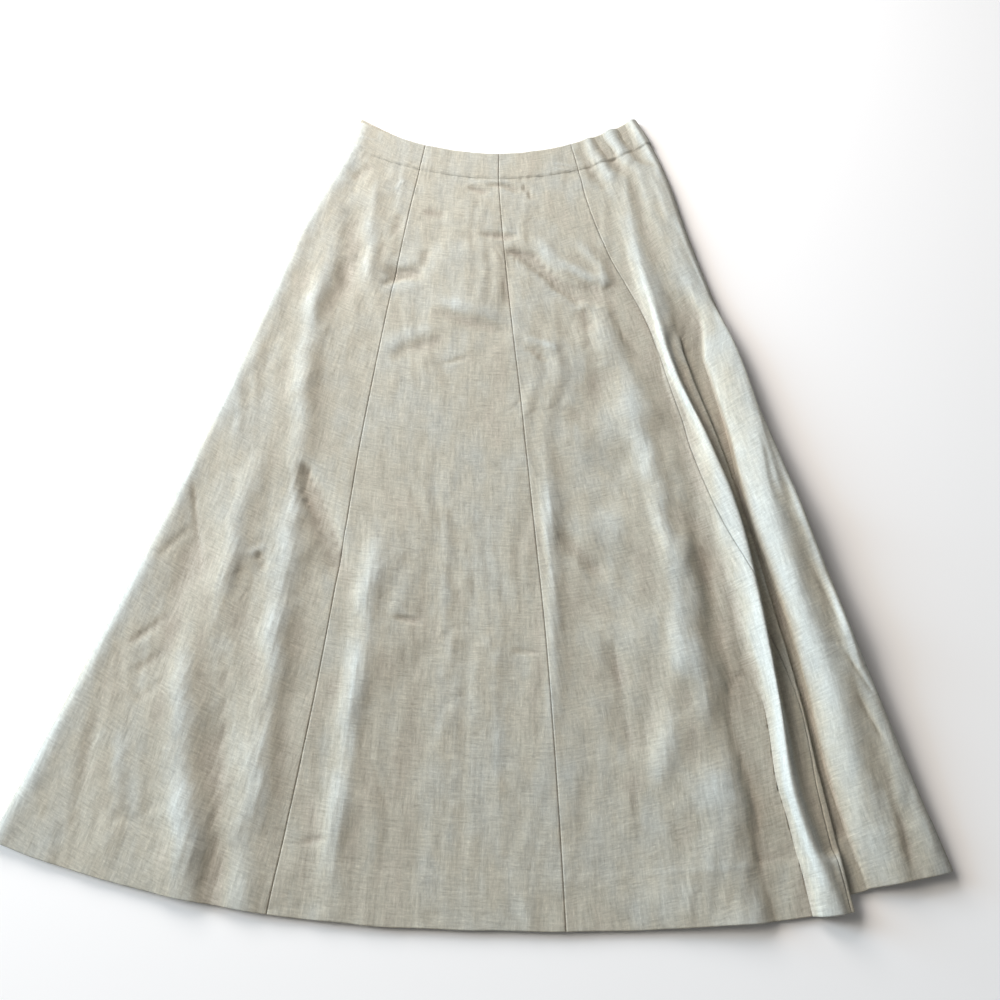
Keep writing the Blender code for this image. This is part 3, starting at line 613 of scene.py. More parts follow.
def stands_proud(front, down, reach, full):
    """How far the cloth stands above its surroundings, -1 to 1: its height less a bell average of it."""
    length = front["length"]
    share = np.linspace(0.0, 1.0, CREST_COLUMNS)
    even = np.array([np.interp(share * at[-1], at, z) for at, z in zip(length, front["z"])])
    spacings = length[:, -1] / CREST_COLUMNS
    across = np.array([bell_average(row, reach, spacing) for row, spacing in zip(even, spacings)])
    step = FRONT_LENGTH / len(down)
    average = np.array([bell_average(column, reach * LENGTHWISE_REACH, step) for column in across.T]).T
    proud = np.tanh((even - average) / full)
    return np.array([np.interp(at / at[-1], share, row) for row, at in zip(proud, length)])


def seam_lengths(front, down):
    """For each section, how far along it each gore starts and ends."""
    length = front["length"]
    past_crest = table_column(FOLD_COLUMNS, FOLD_SECTIONS, "seam_past_crest", down)
    left = length[:, LEFT_SEAM_STATION * CURVE_STEPS]
    centre = length[:, CENTRE_SEAM_STATION * CURVE_STEPS]
    right = length[:, CREST_STATION * CURVE_STEPS] + past_crest
    return np.stack([length[:, 0], left, centre, right, length[:, -1]])


def rows_down():
    """The rows' distances down: close at the two edges, even between. Their number is odd."""
    edge = np.array(EDGE_ROWS) / FRONT_LENGTH
    body_starts, body_ends = CASING_ENDS + ROW_CHANGE, HEM_TURN_UP_STARTS - ROW_CHANGE
    casing = np.linspace(edge[-1], body_starts, CASING_ROWS + 1)[1:-1]
    body = np.linspace(body_starts, body_ends, BODY_ROWS)
    hem = np.linspace(body_ends, 1.0 - edge[-1], HEM_ROWS + 1)[1:-1]
    down = np.concatenate([edge, casing, body, hem, 1.0 - edge[::-1]])
    return down if len(down) % 2 else np.delete(down, len(down) // 2)


def gore_places(front, start, end, columns):
    """(rows, columns): how far along its section each column of a gore stands."""
    near = np.array(SEAM_COLUMNS)
    between = columns - 2 * len(near)
    places = []
    for row in range(len(start)):
        length = front["length"][row]
        heading = np.unwrap(np.arctan2(-front["out_x"][row], front["out_z"][row]))
        turned = np.concatenate([[0.0], np.cumsum(np.abs(np.diff(heading)))])
        measure = length + TURN_WEIGHT * turned
        inner = np.interp([start[row] + near[-1], end[row] - near[-1]], length, measure)
        middle = np.interp(np.linspace(inner[0], inner[1], between + 2)[1:-1], measure, length)
        places.append(np.concatenate([start[row] + near, middle, end[row] - near[::-1]]))
    return np.array(places)


def on_sections(front, name, places):
    """One quantity of the front's sections at the gore's places."""
    rows = zip(places, front["length"], front[name])
    return np.array([np.interp(at, length, value) for at, length, value in rows])


def edge_rounding(distance):
    """Share of the half thickness at a distance from a turned edge: a quarter ellipse."""
    part = np.clip(distance / EDGE_ROUNDING, 0.0, 1.0)
    return np.maximum(np.sqrt(1.0 - (1.0 - part) ** 2), EDGE_LEAST)


def groove(sizes, beside):
    """The dent that a sewn line leaves in the cloth: a bell across the line."""
    depth, half_width = sizes
    return -depth * np.exp(-((beside / half_width) ** 2))


def puckers(sizes, beside, along, shift, seed):
    """Short ripples that cross a sewn line and fade away from it."""
    height, pitch_across, pitch_along, reach = sizes
    ripple = rumple(beside / pitch_across + shift, along / pitch_along, seed)
    return height * ripple * np.exp(-np.abs(beside) / reach)


def blind_stitches(beside, along, seed):
    """The faint dimples of a blind-stitched hem."""
    wander = BLIND_WANDER * rumple(along / BLIND_WANDER_PITCH, along * 0.0 + 0.4, seed)
    dimple = np.maximum(np.cos(2 * np.pi * (along / BLIND_PITCH + wander)), 0.0) ** 6
    return dimple * groove(HEM_DIMPLES, beside) + groove(HEM_GROOVE, beside)


def edge_waver(sizes, along, rows):
    """How far an edge wanders from its even line."""
    reach, pitch, seed = sizes
    return reach * rumple(along / pitch, rows * 0.0 + 0.5, seed)


def paler_edges(from_top, from_hem):
    """1 on the top edge and the hem's fold, and nothing a few millimetres from them."""
    return np.exp(-from_top / EDGE_SHADE_REACH) + np.exp(-from_hem / EDGE_SHADE_REACH)


def linen_mesh(name, outer, inner, uv, seam_painted_shade, near_edge, crest, material):
    """A closed shell of cloth between a fine outer grid and an inner grid of half its fineness."""
    rows, columns = outer.shape[:2]
    coarse_rows, coarse_columns = inner.shape[:2]
    top = np.arange(rows * columns).reshape(rows, columns)
    low = np.arange(coarse_rows * coarse_columns).reshape(coarse_rows, coarse_columns) + rows * columns
    face_up = np.stack([top[:-1, :-1], top[1:, :-1], top[1:, 1:], top[:-1, 1:]], axis=-1).reshape(-1, 4)
    face_down = np.stack([low[:-1, :-1], low[:-1, 1:], low[1:, 1:], low[1:, :-1]], axis=-1).reshape(-1, 4)

    def rim(fine, coarse, turned):
        five = np.stack([fine[:-2:2], fine[1:-1:2], fine[2::2], coarse[1:], coarse[:-1]], axis=-1)
        return five[:, ::-1] if turned else five

    rims = np.concatenate([
        rim(top[:, 0], low[:, 0], True),
        rim(top[:, -1], low[:, -1], False),
        rim(top[0], low[0], False),
        rim(top[-1], low[-1], True),
    ])
    points = np.concatenate([outer.reshape(-1, 3), inner.reshape(-1, 3)])
    points = points - np.array([PLAN_MIDDLE_X, PLAN_MIDDLE_Y, 0.0])
    corners = np.concatenate([face_up.ravel(), face_down.ravel(), rims.ravel()])
    sizes = np.concatenate([np.full(len(face_up) + len(face_down), 4), np.full(len(rims), 5)])
    starts = np.concatenate([[0], np.cumsum(sizes)[:-1]])
    mesh = bpy.data.meshes.new(name)
    mesh.vertices.add(len(points))
    mesh.vertices.foreach_set("co", points.astype(np.float32).ravel())
    mesh.loops.add(len(corners))
    mesh.loops.foreach_set("vertex_index", corners.astype(np.int32))
    mesh.polygons.add(len(sizes))
    mesh.polygons.foreach_set("loop_start", starts.astype(np.int32))
    mesh.polygons.foreach_set("use_smooth", np.ones(len(sizes), bool))
    mesh.update(calc_edges=True)
    grain = np.concatenate([uv.reshape(-1, 2), uv[::2, ::2].reshape(-1, 2)])
    layer = mesh.uv_layers.new(name="grain")
    layer.data.foreach_set("uv", grain[corners].astype(np.float32).ravel())
    for label, value in (("seam_painted_shade", seam_painted_shade), ("near_edge", near_edge), ("crest", crest)):
        both = np.concatenate([value.ravel(), value[::2, ::2].ravel()])
        mesh.attributes.new(label, "FLOAT", "POINT").data.foreach_set("value", both.astype(np.float32))
    mesh.materials.append(material)
    mesh.validate()
    piece = bpy.data.objects.new(name, mesh)
    bpy.context.scene.collection.objects.link(piece)
    return piece


def grain_of(middle_x, middle_y, u, shift):
    """(u, v) in metres on the cloth: u across from the gore's middle line, v down along it."""
    run_x, run_y = middle_x[-1] - middle_x[0], middle_y[-1] - middle_y[0]
    size = math.hypot(run_x, run_y)
    x = middle_x[:, None] + u
    v = ((x - middle_x[0]) * run_x + (middle_y[:, None] - middle_y[0]) * run_y) / size
    return np.stack([u + shift, v + shift * GRAIN_DRIFT], axis=-1)


def lay_front_gore(name, number, columns, front, seams, down, material):
    """One front gore: the cloth between two seams, with its seam rolls, puckers and rumples."""
    left_seam = 1.0 if number > 0 else 0.0
    right_seam = 1.0 if number < 3 else 0.0
    start = seams[number] + CLOTH_SEAM_GAP / 2 * left_seam
    end = seams[number + 1] - CLOTH_SEAM_GAP / 2 * right_seam
    places = gore_places(front, start, end, columns)
    x, y, z, out_x, out_z, inside, crest = (
        on_sections(front, column, places)
        for column in ("x", "y", "z", "out_x", "out_z", "inside", "crest")
    )
    size = np.hypot(out_x, out_z)
    out_x, out_z = out_x / size, out_z / size
    rows = down[:, None]
    from_top = rows * FRONT_LENGTH
    from_hem = (1.0 - rows) * FRONT_LENGTH
    past_left = places - start[:, None]
    past_right = end[:, None] - places
    dip = left_seam * np.exp(-((past_left / SEAM_ROLL) ** 2))
    dip = dip + right_seam * np.exp(-((past_right / SEAM_ROLL) ** 2))
    pucker = left_seam * puckers(SEAM_PUCKERS, past_left, from_top, 3.0, 101 + number)
    pucker = pucker + right_seam * puckers(SEAM_PUCKERS, -past_right, from_top, 3.0, 102 + number)
    past_casing = from_top - CASING_LINE
    sewn = groove(CASING_GROOVE, past_casing) + puckers(CASING_PUCKERS, past_casing, places, 7.0, 131)
    topped = groove(TOP_GROOVE, from_top - TOP_LINE)
    topped = topped * smooth_step(*TOP_LINE_STARTS, x) * (1.0 - smooth_step(*TOP_LINE_STOPS, x))
    hemmed = blind_stitches(from_top - HEM_LINE, places, 151)
    calm = CASING_CALM + (1.0 - CASING_CALM) * smooth_step(*RUMPLES_FROM, rows)
    fine = (rumpled_height(x, y) * calm + pucker + sewn + topped + hemmed) * inside
    above = front["wall"][:, None] / 2 + np.maximum(fine, -DEEPEST_DENT)
    thin = layers_at(rows, THIN_CLOTH, THIN_CASING, THIN_HEM) * np.ones_like(x)
    round_edge = edge_rounding(from_top) * edge_rounding(from_hem)
    outer_at = above - thin / 2 * (1.0 - round_edge) - SEAM_DIP * dip
    inner_at = above - thin / 2 * (1.0 + round_edge)
    y = y + edge_waver(TOP_WANDER, places, rows) * (1.0 - smooth_step(0.0, 0.012, rows))
    y = y + edge_waver(HEM_WANDER, places, rows) * smooth_step(0.97, 1.0, rows)
    outer = np.stack([x + out_x * outer_at, y, z + out_z * outer_at], axis=-1)
    inner = np.stack([x + out_x * inner_at, y, z + out_z * inner_at], axis=-1)
    middle = (start + end) / 2
    middle_x = on_sections(front, "x", middle)
    middle_y = on_sections(front, "y", middle)
    uv = grain_of(middle_x, middle_y, places - middle[:, None], GRAIN_SHIFT * (number + 1))
    # Painted shade in the seams and along the casing's line
    seam_painted_shade = left_seam * np.exp(-past_left / SEAM_SHADE_REACH)
    seam_painted_shade = seam_painted_shade + right_seam * np.exp(-past_right / SEAM_SHADE_REACH)
    seam_painted_shade = seam_painted_shade + CASING_PAINTED_SHADE * np.exp(-np.abs(past_casing) / CASING_SHADE_REACH)
    seam_painted_shade = np.clip(seam_painted_shade, 0.0, 1.0)
    near_edge = paler_edges(from_top, from_hem) + 0.0 * x
    return linen_mesh(name, outer, inner[::2, ::2], uv, seam_painted_shade, near_edge, crest, material)


def back_rows():
    """Rows of the back: as those of the front but further apart."""
    down = rows_down()
    edge = len(EDGE_ROWS)
    kept = np.concatenate([down[:edge], down[edge:-edge:BACK_ROW_STEP], down[-edge:]])
    return kept if len(kept) % 2 else np.delete(kept, len(kept) // 2)


# The back: its gores from left to right, its seams as shares across, and its own small sizes
BACK_GORES = (
    "back_left_side_gore", "back_left_centre_gore", "back_right_centre_gore", "back_right_side_gore",
)
BACK_SEAM_SHARES = (0.0, 0.245, 0.5, 0.755, 1.0)
BACK_COLUMNS = 51
BACK_ROW_STEP = 3
BACK_TOP_PEEK = 0.010
BACK_PEEK_REACH = 0.3
BACK_HEM_INSET = 0.0015
BACK_UNDER_FRONT = (0.86, 0.89)
BACK_SKIN_INSET = 0.0002
BACK_EDGE_FADE = 0.006
BACK_RUMPLE = 0.00018
BACK_SEAM_DIP = 0.00035
BACK_DEEPEST = 0.55
BACK_CREST = 0.0006

# Creases of the back, which lies on the surface: shallow troughs of its underside
BACK_CREASES = {
    "left long trough": (-0.170, 0.380, -0.240, -0.050, 0.012, 0.010, 0.0006),
    "left low trough": (-0.215, 0.020, -0.262, -0.350, -0.010, 0.012, 0.0006),
    "middle left trough": (-0.070, 0.210, -0.085, -0.200, 0.006, 0.009, 0.0005),
    "middle trough": (0.020, 0.120, 0.048, -0.300, -0.008, 0.010, 0.0005),
    "middle right trough": (0.085, 0.300, 0.130, -0.080, 0.010, 0.009, 0.0006),
    "right long trough": (0.150, 0.330, 0.236, -0.180, -0.012, 0.011, 0.0006),
    "right low trough": (0.205, -0.040, 0.270, -0.350, 0.008, 0.012, 0.0006),
    "seat crease": (-0.090, 0.150, 0.070, 0.120, -0.010, 0.008, 0.0005),
    "second seat crease": (-0.060, 0.060, 0.110, 0.070, 0.012, 0.008, 0.0004),
    "waist crease": (-0.060, 0.400, 0.010, 0.385, 0.004, 0.005, 0.0004),
}


def lay_back_gore(name, number, material):
    """One back gore: flat where it rests, with shallow troughs in its underside."""
    down = back_rows()
    rows = down[:, None]
    left = table_column(SECTION_COLUMNS, SECTIONS, "left_edge", down)[:, None]
    right = table_column(SECTION_COLUMNS, SECTIONS, "right_edge", down)[:, None]
    left_seam = 1.0 if number > 0 else 0.0
    right_seam = 1.0 if number < 3 else 0.0
    start = left + (right - left) * BACK_SEAM_SHARES[number] + SEAM_GAP / 2 * left_seam
    end = left + (right - left) * BACK_SEAM_SHARES[number + 1] - SEAM_GAP / 2 * right_seam
    near = np.array(SEAM_COLUMNS)
    share = np.linspace(0.0, 1.0, BACK_COLUMNS - 2 * len(near) + 2)[1:-1][None, :]
    between = start + near[-1] + (end - start - 2 * near[-1]) * share
    x = np.concatenate([start + near[None, :], between, end - near[None, ::-1]], axis=1)
    across = (x - left) / (right - left)
    lift = BACK_HEM_INSET + UNDER_LAYER_LIFT * smooth_step(*BACK_UNDER_FRONT, across)
    y = plan_y(across, rows, lift)
    y = y + BACK_TOP_PEEK * (1.0 - smooth_step(0.0, BACK_PEEK_REACH, across)) * (1.0 - rows)
    wall = layers_at(rows, CLOTH_WALL, CASING_WALL, HEM_WALL) - BACK_SKIN_INSET + 0.0 * x
    from_top = rows * FRONT_LENGTH
    from_hem = (1.0 - rows) * FRONT_LENGTH
    dip = left_seam * np.exp(-(((x - start) / SEAM_ROLL) ** 2))
    dip = dip + right_seam * np.exp(-(((end - x) / SEAM_ROLL) ** 2))
    inside = smooth_step(0.0, BACK_EDGE_FADE, x - left) * smooth_step(0.0, BACK_EDGE_FADE, right - x)
    rumpled = BACK_RUMPLE * (1.0 + rumple(x / 0.024, y / 0.07, 81)) * inside
    hollow = crease_height(BACK_CREASES, x, y) + rumpled + BACK_SEAM_DIP * dip
    under = np.minimum(hollow, wall * BACK_DEEPEST)
    round_edge = edge_rounding(from_top) * edge_rounding(from_hem)
    middle_z = (wall + under) / 2
    top_z = middle_z + (wall - middle_z) * round_edge
    under_z = middle_z - (middle_z - under) * round_edge
    outer = np.stack([x, y, under_z], axis=-1)
    inner = np.stack([x, y, top_z], axis=-1)
    middle_x = ((start + end) / 2)[:, 0]
    middle_y = y[:, y.shape[1] // 2]
    uv = grain_of(middle_x, middle_y, x - middle_x[:, None], GRAIN_SHIFT * (number + 6))
    # Painted shade in the back's seams
    seam_painted_shade = left_seam * np.exp(-(x - start) / BACK_SHADE_REACH)
    seam_painted_shade = seam_painted_shade + right_seam * np.exp(-(end - x) / BACK_SHADE_REACH)
    near_edge = paler_edges(from_top, from_hem) + 0.0 * x
    # Painted shade where the back's underside is hollowed, carried by the crest attribute
    crest = -np.tanh(hollow / BACK_CREST)
    flipped = [grid[:, ::-1] for grid in (outer, inner, uv, seam_painted_shade, near_edge, crest)]
    return linen_mesh(name, flipped[0], flipped[1][::2, ::2], *flipped[2:], material)


# How far the slubs, the threads, the seams, the crests and the edges change the linen's shade: in the seams
# and along the casing's line it is painted shade, on crests painted light and in hollows painted shade
SLUB_SHADE = 0.46
THREAD_SHADE = 0.10
SEAM_PAINTED_SHADE = -0.22
CREST_PAINTED_LIGHT = 0.15
EDGE_SHADE = 0.05
THREAD_PITCH = 0.0007


def add_node(tree, kind, **settings):
    """A node of the tree, with its plain settings given by name."""
    node = tree.nodes.new(kind)
    for name, value in settings.items():
        setattr(node, name, value)
    return node


def feed(tree, target, *sources):
    """Gives a node's sockets, in order, a link from another socket or a plain value."""
    for socket, source in zip(target.inputs, sources):
        if isinstance(source, bpy.types.NodeSocket):
            tree.links.new(source, socket)
        elif source is not None:
            socket.default_value = source
    return target


def math_of(tree, operation, *sources):
    """The result of one Math node."""
    return feed(tree, add_node(tree, "ShaderNodeMath", operation=operation), *sources).outputs[0]


def stretched(tree, vector, scale, offset=(0.0, 0.0, 0.0)):
    """The vector times a scale plus an offset."""
    times = add_node(tree, "ShaderNodeVectorMath", operation="MULTIPLY_ADD")
    return feed(tree, times, vector, scale, offset).outputs[0]


def noise_of(tree, vector, detail, roughness):
    """Cloudy values, about 0 to 1, at unit scale of the given vector."""
    noise = add_node(tree, "ShaderNodeTexNoise")
    tree.links.new(vector, noise.inputs["Vector"])
    noise.inputs["Scale"].default_value = 1.0
    noise.inputs["Detail"].default_value = detail
    noise.inputs["Roughness"].default_value = roughness
    return noise.outputs["Fac"]


def ranged(tree, value, from_low, from_high, to_low, to_high):
    """The value moved from one range to another, and kept in it."""
    node = add_node(tree, "ShaderNodeMapRange")
    return feed(tree, node, value, from_low, from_high, to_low, to_high).outputs[0]


def mixed(tree, share, first, second):
    """A colour between the first and the second, by the share."""
    mix = add_node(tree, "ShaderNodeMix", data_type="RGBA")
    for socket, source in (("Factor", share), ("A", first), ("B", second)):
        if isinstance(source, bpy.types.NodeSocket):
            tree.links.new(source, mix.inputs[socket])
        else:
            mix.inputs[socket].default_value = source
    return mix.outputs["Result"]


def new_group(name, inputs, outputs):
    """(group, its input node, its output node), with named sockets."""
    group = bpy.data.node_groups.new(name, "ShaderNodeTree")
    for label, kind, value in inputs:
        socket = group.interface.new_socket(label, in_out="INPUT", socket_type=kind)
        if value is not None:
            socket.default_value = value
    for label, kind in outputs:
        group.interface.new_socket(label, in_out="OUTPUT", socket_type=kind)
    return group, group.nodes.new("NodeGroupInput"), group.nodes.new("NodeGroupOutput")


def plain_weave_group():
    """A plain linen weave: crossing threads of uneven thickness, with slubs in both directions."""
    group, given, made = new_group(
        "plain linen weave",
        [("Cloth", "NodeSocketVector", None),
         ("Thread", "NodeSocketFloat", THREAD_PITCH),
         ("Slub", "NodeSocketFloat", 1.0)],
        [("Shade", "NodeSocketFloat"), ("Height", "NodeSocketFloat")],
    )
    cloth, thread, slub = given.outputs["Cloth"], given.outputs["Thread"], given.outputs["Slub"]
    weft_slub = noise_of(group, stretched(group, cloth, (260.0, 950.0, 1.0)), 2.0, 0.6)
    warp_slub = noise_of(group, stretched(group, cloth, (950.0, 220.0, 1.0), (0.0, 0.0, 4.0)), 2.0, 0.6)
    weft_long = noise_of(group, stretched(group, cloth, (60.0, 520.0, 1.0), (0.0, 0.0, 9.0)), 1.0, 0.5)
    warp_long = noise_of(group, stretched(group, cloth, (380.0, 45.0, 1.0), (0.0, 0.0, 13.0)), 1.0, 0.5)
    patch = noise_of(group, stretched(group, cloth, (75.0, 60.0, 1.0), (0.0, 0.0, 17.0)), 1.0, 0.5)
    split = add_node(group, "ShaderNodeSeparateXYZ")
    group.links.new(cloth, split.inputs[0])
    across = math_of(group, "DIVIDE", split.outputs[0], thread)
    along = math_of(group, "DIVIDE", split.outputs[1], thread)
    warp_wave = math_of(group, "SINE", math_of(group, "MULTIPLY", across, math.pi))
    weft_wave = math_of(group, "SINE", math_of(group, "MULTIPLY", along, math.pi))
    crossing = math_of(group, "MULTIPLY", warp_wave, weft_wave)
    over = ranged(group, crossing, -0.35, 0.35, 0.0, 1.0)
    warp_part = math_of(group, "MULTIPLY", math_of(group, "ABSOLUTE", warp_wave), over)
    under = math_of(group, "SUBTRACT", 1.0, over)
    weft_part = math_of(group, "MULTIPLY", math_of(group, "ABSOLUTE", weft_wave), under)
    threads = math_of(group, "ADD", warp_part, weft_part)
    weft_shade = math_of(group, "SUBTRACT", math_of(group, "ADD", weft_slub, weft_long), 1.0)
    warp_shade = math_of(group, "SUBTRACT", math_of(group, "ADD", warp_slub, warp_long), 1.0)
    weft_share = ranged(group, patch, 0.35, 0.65, 0.5, 1.3)
    warp_share = ranged(group, patch, 0.35, 0.65, 1.3, 0.6)
    weft_part = math_of(group, "MULTIPLY", weft_shade, weft_share)
    uneven = math_of(group, "ADD", weft_part, math_of(group, "MULTIPLY", warp_shade, warp_share))
    for slubs in (weft_slub, warp_slub):
        uneven = math_of(group, "ADD", uneven, ranged(group, slubs, 0.66, 0.74, 0.0, 0.35))
    shade = math_of(group, "MULTIPLY_ADD", uneven, math_of(group, "MULTIPLY", slub, SLUB_SHADE), 1.0)
    above_threads = math_of(group, "SUBTRACT", threads, 0.6)
    shade = math_of(group, "MULTIPLY_ADD", above_threads, THREAD_SHADE, shade)
    height = math_of(group, "MULTIPLY_ADD", uneven, math_of(group, "MULTIPLY", slub, 0.9), threads)
    group.links.new(shade, made.inputs["Shade"])
    group.links.new(height, made.inputs["Height"])
    return group


def linen_colour_and_crest_light_group():
    """Undyed linen's slow colour changes: oatmeal with random rosy and sage mottling, and painted light on
    crests, paler and cooler, and painted shade in hollows, rosier.
    """
    group, given, made = new_group(
        "undyed linen colour and painted crest light",
        [("Place", "NodeSocketVector", None), ("Crest", "NodeSocketFloat", 0.0),
         ("Rosy and hollow shade", "NodeSocketColor", (0.446, 0.403, 0.332, 1.0)),
         ("Flat", "NodeSocketColor", (0.445, 0.425, 0.350, 1.0)),
         ("Sage and crest light", "NodeSocketColor", (0.434, 0.452, 0.422, 1.0))],
        [("Color", "NodeSocketColor")],
    )
    place = given.outputs["Place"]
    slow = noise_of(group, stretched(group, place, (10.0, 7.0, 10.0)), 3.0, 0.55)
    streak = noise_of(group, stretched(group, place, (70.0, 12.0, 70.0), (3.0, 1.0, 0.0)), 2.0, 0.5)
    mottle = noise_of(group, stretched(group, place, (27.0, 19.0, 27.0), (1.0, 6.0, 0.0)), 3.0, 0.6)
    uneven = math_of(group, "SUBTRACT", math_of(group, "ADD", slow, streak), 1.0)
    uneven = math_of(group, "MULTIPLY_ADD", math_of(group, "SUBTRACT", mottle, 0.5), 2.0, uneven)
    # Painted light on crests and painted shade in hollows: the crest pulls the colour towards the pale cool
    # one or the rosy one
    painted_crest_light = math_of(group, "MULTIPLY_ADD", given.outputs["Crest"], 0.75, 0.12)
    where = math_of(group, "MULTIPLY_ADD", uneven, 0.85, painted_crest_light)
    out_of_hollow = ranged(group, where, -0.9, 0.0, 0.0, 1.0)
    up_ridge = ranged(group, where, 0.0, 0.9, 0.0, 1.0)
    low = mixed(group, out_of_hollow, given.outputs["Rosy and hollow shade"], given.outputs["Flat"])
    high = mixed(group, up_ridge, low, given.outputs["Sage and crest light"])
    group.links.new(high, made.inputs["Color"])
    return group


def place_group(tree, group, **inputs):
    """A node that uses the group, with its inputs given by name."""
    node = add_node(tree, "ShaderNodeGroup", node_tree=group)
    for name, source in inputs.items():
        if isinstance(source, bpy.types.NodeSocket):
            tree.links.new(source, node.inputs[name])
        else:
            node.inputs[name].default_value = source
    return node


def linen_material(weave, colour_and_crest_light):
    """Undyed linen: woven, slubbed, slightly darker in its seams and along the casing's line as painted
    shade, with painted light on crests and painted shade in hollows, and paler on its turned edges.
    """
    material = bpy.data.materials.new("undyed linen")
    material.use_nodes = True
    tree = material.node_tree
    shader = tree.nodes["Principled BSDF"]
    grain = add_node(tree, "ShaderNodeUVMap", uv_map="grain").outputs[0]
    place = add_node(tree, "ShaderNodeTexCoord").outputs["Object"]
    woven = place_group(tree, weave, Cloth=grain, Thread=THREAD_PITCH, Slub=1.0)
    crest = add_node(tree, "ShaderNodeAttribute", attribute_name="crest").outputs["Fac"]
    colour = place_group(tree, colour_and_crest_light, Place=place, Crest=crest).outputs["Color"]
    seam = add_node(tree, "ShaderNodeAttribute", attribute_name="seam_painted_shade").outputs["Fac"]
    edge = add_node(tree, "ShaderNodeAttribute", attribute_name="near_edge").outputs["Fac"]
    # Painted shade in the seams and along the casing's line
    shade = math_of(tree, "MULTIPLY_ADD", seam, SEAM_PAINTED_SHADE, woven.outputs["Shade"])
    # Painted light on crests and painted shade in hollows
    shade = math_of(tree, "MULTIPLY_ADD", crest, CREST_PAINTED_LIGHT, shade)
    shade = math_of(tree, "MULTIPLY_ADD", edge, EDGE_SHADE, shade)
    tinted = add_node(tree, "ShaderNodeVectorMath", operation="SCALE")
    tree.links.new(colour, tinted.inputs[0])
    tree.links.new(shade, tinted.inputs["Scale"])
    tree.links.new(tinted.outputs[0], shader.inputs["Base Color"])
    bump = add_node(tree, "ShaderNodeBump")
    bump.inputs["Strength"].default_value = 0.6
    bump.inputs["Distance"].default_value = 0.00018
    tree.links.new(woven.outputs["Height"], bump.inputs["Height"])
    tree.links.new(bump.outputs["Normal"], shader.inputs["Normal"])
    tree.links.new(ranged(tree, woven.outputs["Height"], 0.0, 1.2, 0.82, 0.62), shader.inputs["Roughness"])
    shader.inputs["Specular IOR Level"].default_value = 0.30
    shader.inputs["Sheen Weight"].default_value = 0.10
    shader.inputs["Sheen Roughness"].default_value = 0.5
    return material


def thread_material():
    """Linen-coloured sewing thread with its fine twist."""
    material = bpy.data.materials.new("sewing thread")
    material.use_nodes = True
    tree = material.node_tree
    shader = tree.nodes["Principled BSDF"]
    place = add_node(tree, "ShaderNodeTexCoord").outputs["Object"]
    twist = noise_of(tree, stretched(tree, place, (2600.0, 1400.0, 1800.0)), 1.0, 0.5)
    colour = mixed(tree, twist, (0.36, 0.345, 0.28, 1.0), (0.56, 0.54, 0.46, 1.0))
    tree.links.new(colour, shader.inputs["Base Color"])
    tree.links.new(ranged(tree, twist, 0.3, 0.7, 0.5, 0.7), shader.inputs["Roughness"])
    return material


# The casing's stitching
STITCH_LENGTH = 0.0026
STITCH_PITCH = 0.0032
STITCH_RADIUS = 0.00020
STITCH_RINGS = 5
STITCH_SIDES = 6
STITCH_MARGIN = 0.004
STITCH_DEPTH = 0.00024
STITCH_BOW = 0.00025


def sew_casing(material):
    """The row of stitches that closes the casing: capsules laid end to end in the groove."""
    front = front_sections(np.array([CASING_LINE / FRONT_LENGTH]))
    length = front["length"][0]
    first, last = STITCH_MARGIN, length[-1] - STITCH_MARGIN
    count = int((last - first) / STITCH_PITCH)
    centre = first + (np.arange(count) + 0.5) * STITCH_PITCH
    along = np.linspace(-0.5, 0.5, STITCH_RINGS) * STITCH_LENGTH
    at = centre[:, None] + along[None, :]
    rise = front["wall"][0] / 2 - STITCH_DEPTH
    lift = rise - STITCH_BOW * (2.0 * along / STITCH_LENGTH) ** 2
    ring_size = STITCH_RADIUS * np.sqrt(np.clip(1.0 - (2.0 * along / STITCH_LENGTH) ** 4, 0.06, 1.0))
    x, y, z, out_x, out_z = (
        np.interp(at, length, front[name][0]) for name in ("x", "y", "z", "out_x", "out_z")
    )
    angle = np.linspace(0.0, 2 * np.pi, STITCH_SIDES, endpoint=False)
    up = lift[None, :, None] + np.sin(angle) * ring_size[None, :, None]
    side = np.cos(angle) * ring_size[None, :, None]
    points = np.stack([
        x[..., None] + out_x[..., None] * up,
        y[..., None] + side,
        z[..., None] + out_z[..., None] * up,
    ], axis=-1).reshape(-1, 3) - np.array([PLAN_MIDDLE_X, PLAN_MIDDLE_Y, 0.0])
    ring = np.arange(STITCH_SIDES)
    following = (ring + 1) % STITCH_SIDES
    faces = []
    for stitch in range(count):
        base = stitch * STITCH_RINGS * STITCH_SIDES
        for step in range(STITCH_RINGS - 1):
            low, high = base + step * STITCH_SIDES, base + (step + 1) * STITCH_SIDES
            faces += np.stack([low + ring, high + ring, high + following, low + following], axis=1).tolist()
        faces.append((base + ring).tolist())
        faces.append((base + (STITCH_RINGS - 1) * STITCH_SIDES + ring[::-1]).tolist())
    mesh = bpy.data.meshes.new("casing_stitching")
    mesh.from_pydata(points.tolist(), [], faces)
    mesh.materials.append(material)
    mesh.polygons.foreach_set("use_smooth", np.ones(len(mesh.polygons), bool))
    mesh.update()
    piece = bpy.data.objects.new("casing_stitching", mesh)
    bpy.context.scene.collection.objects.link(piece)
    return piece


def declare(piece, node):
    """Ties a gore to the part's root body and hides the part's node that it replaces."""
    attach(piece, "root")
    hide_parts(node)


TABLE_REACH = 6.0
TABLE_BELOW = 0.0003


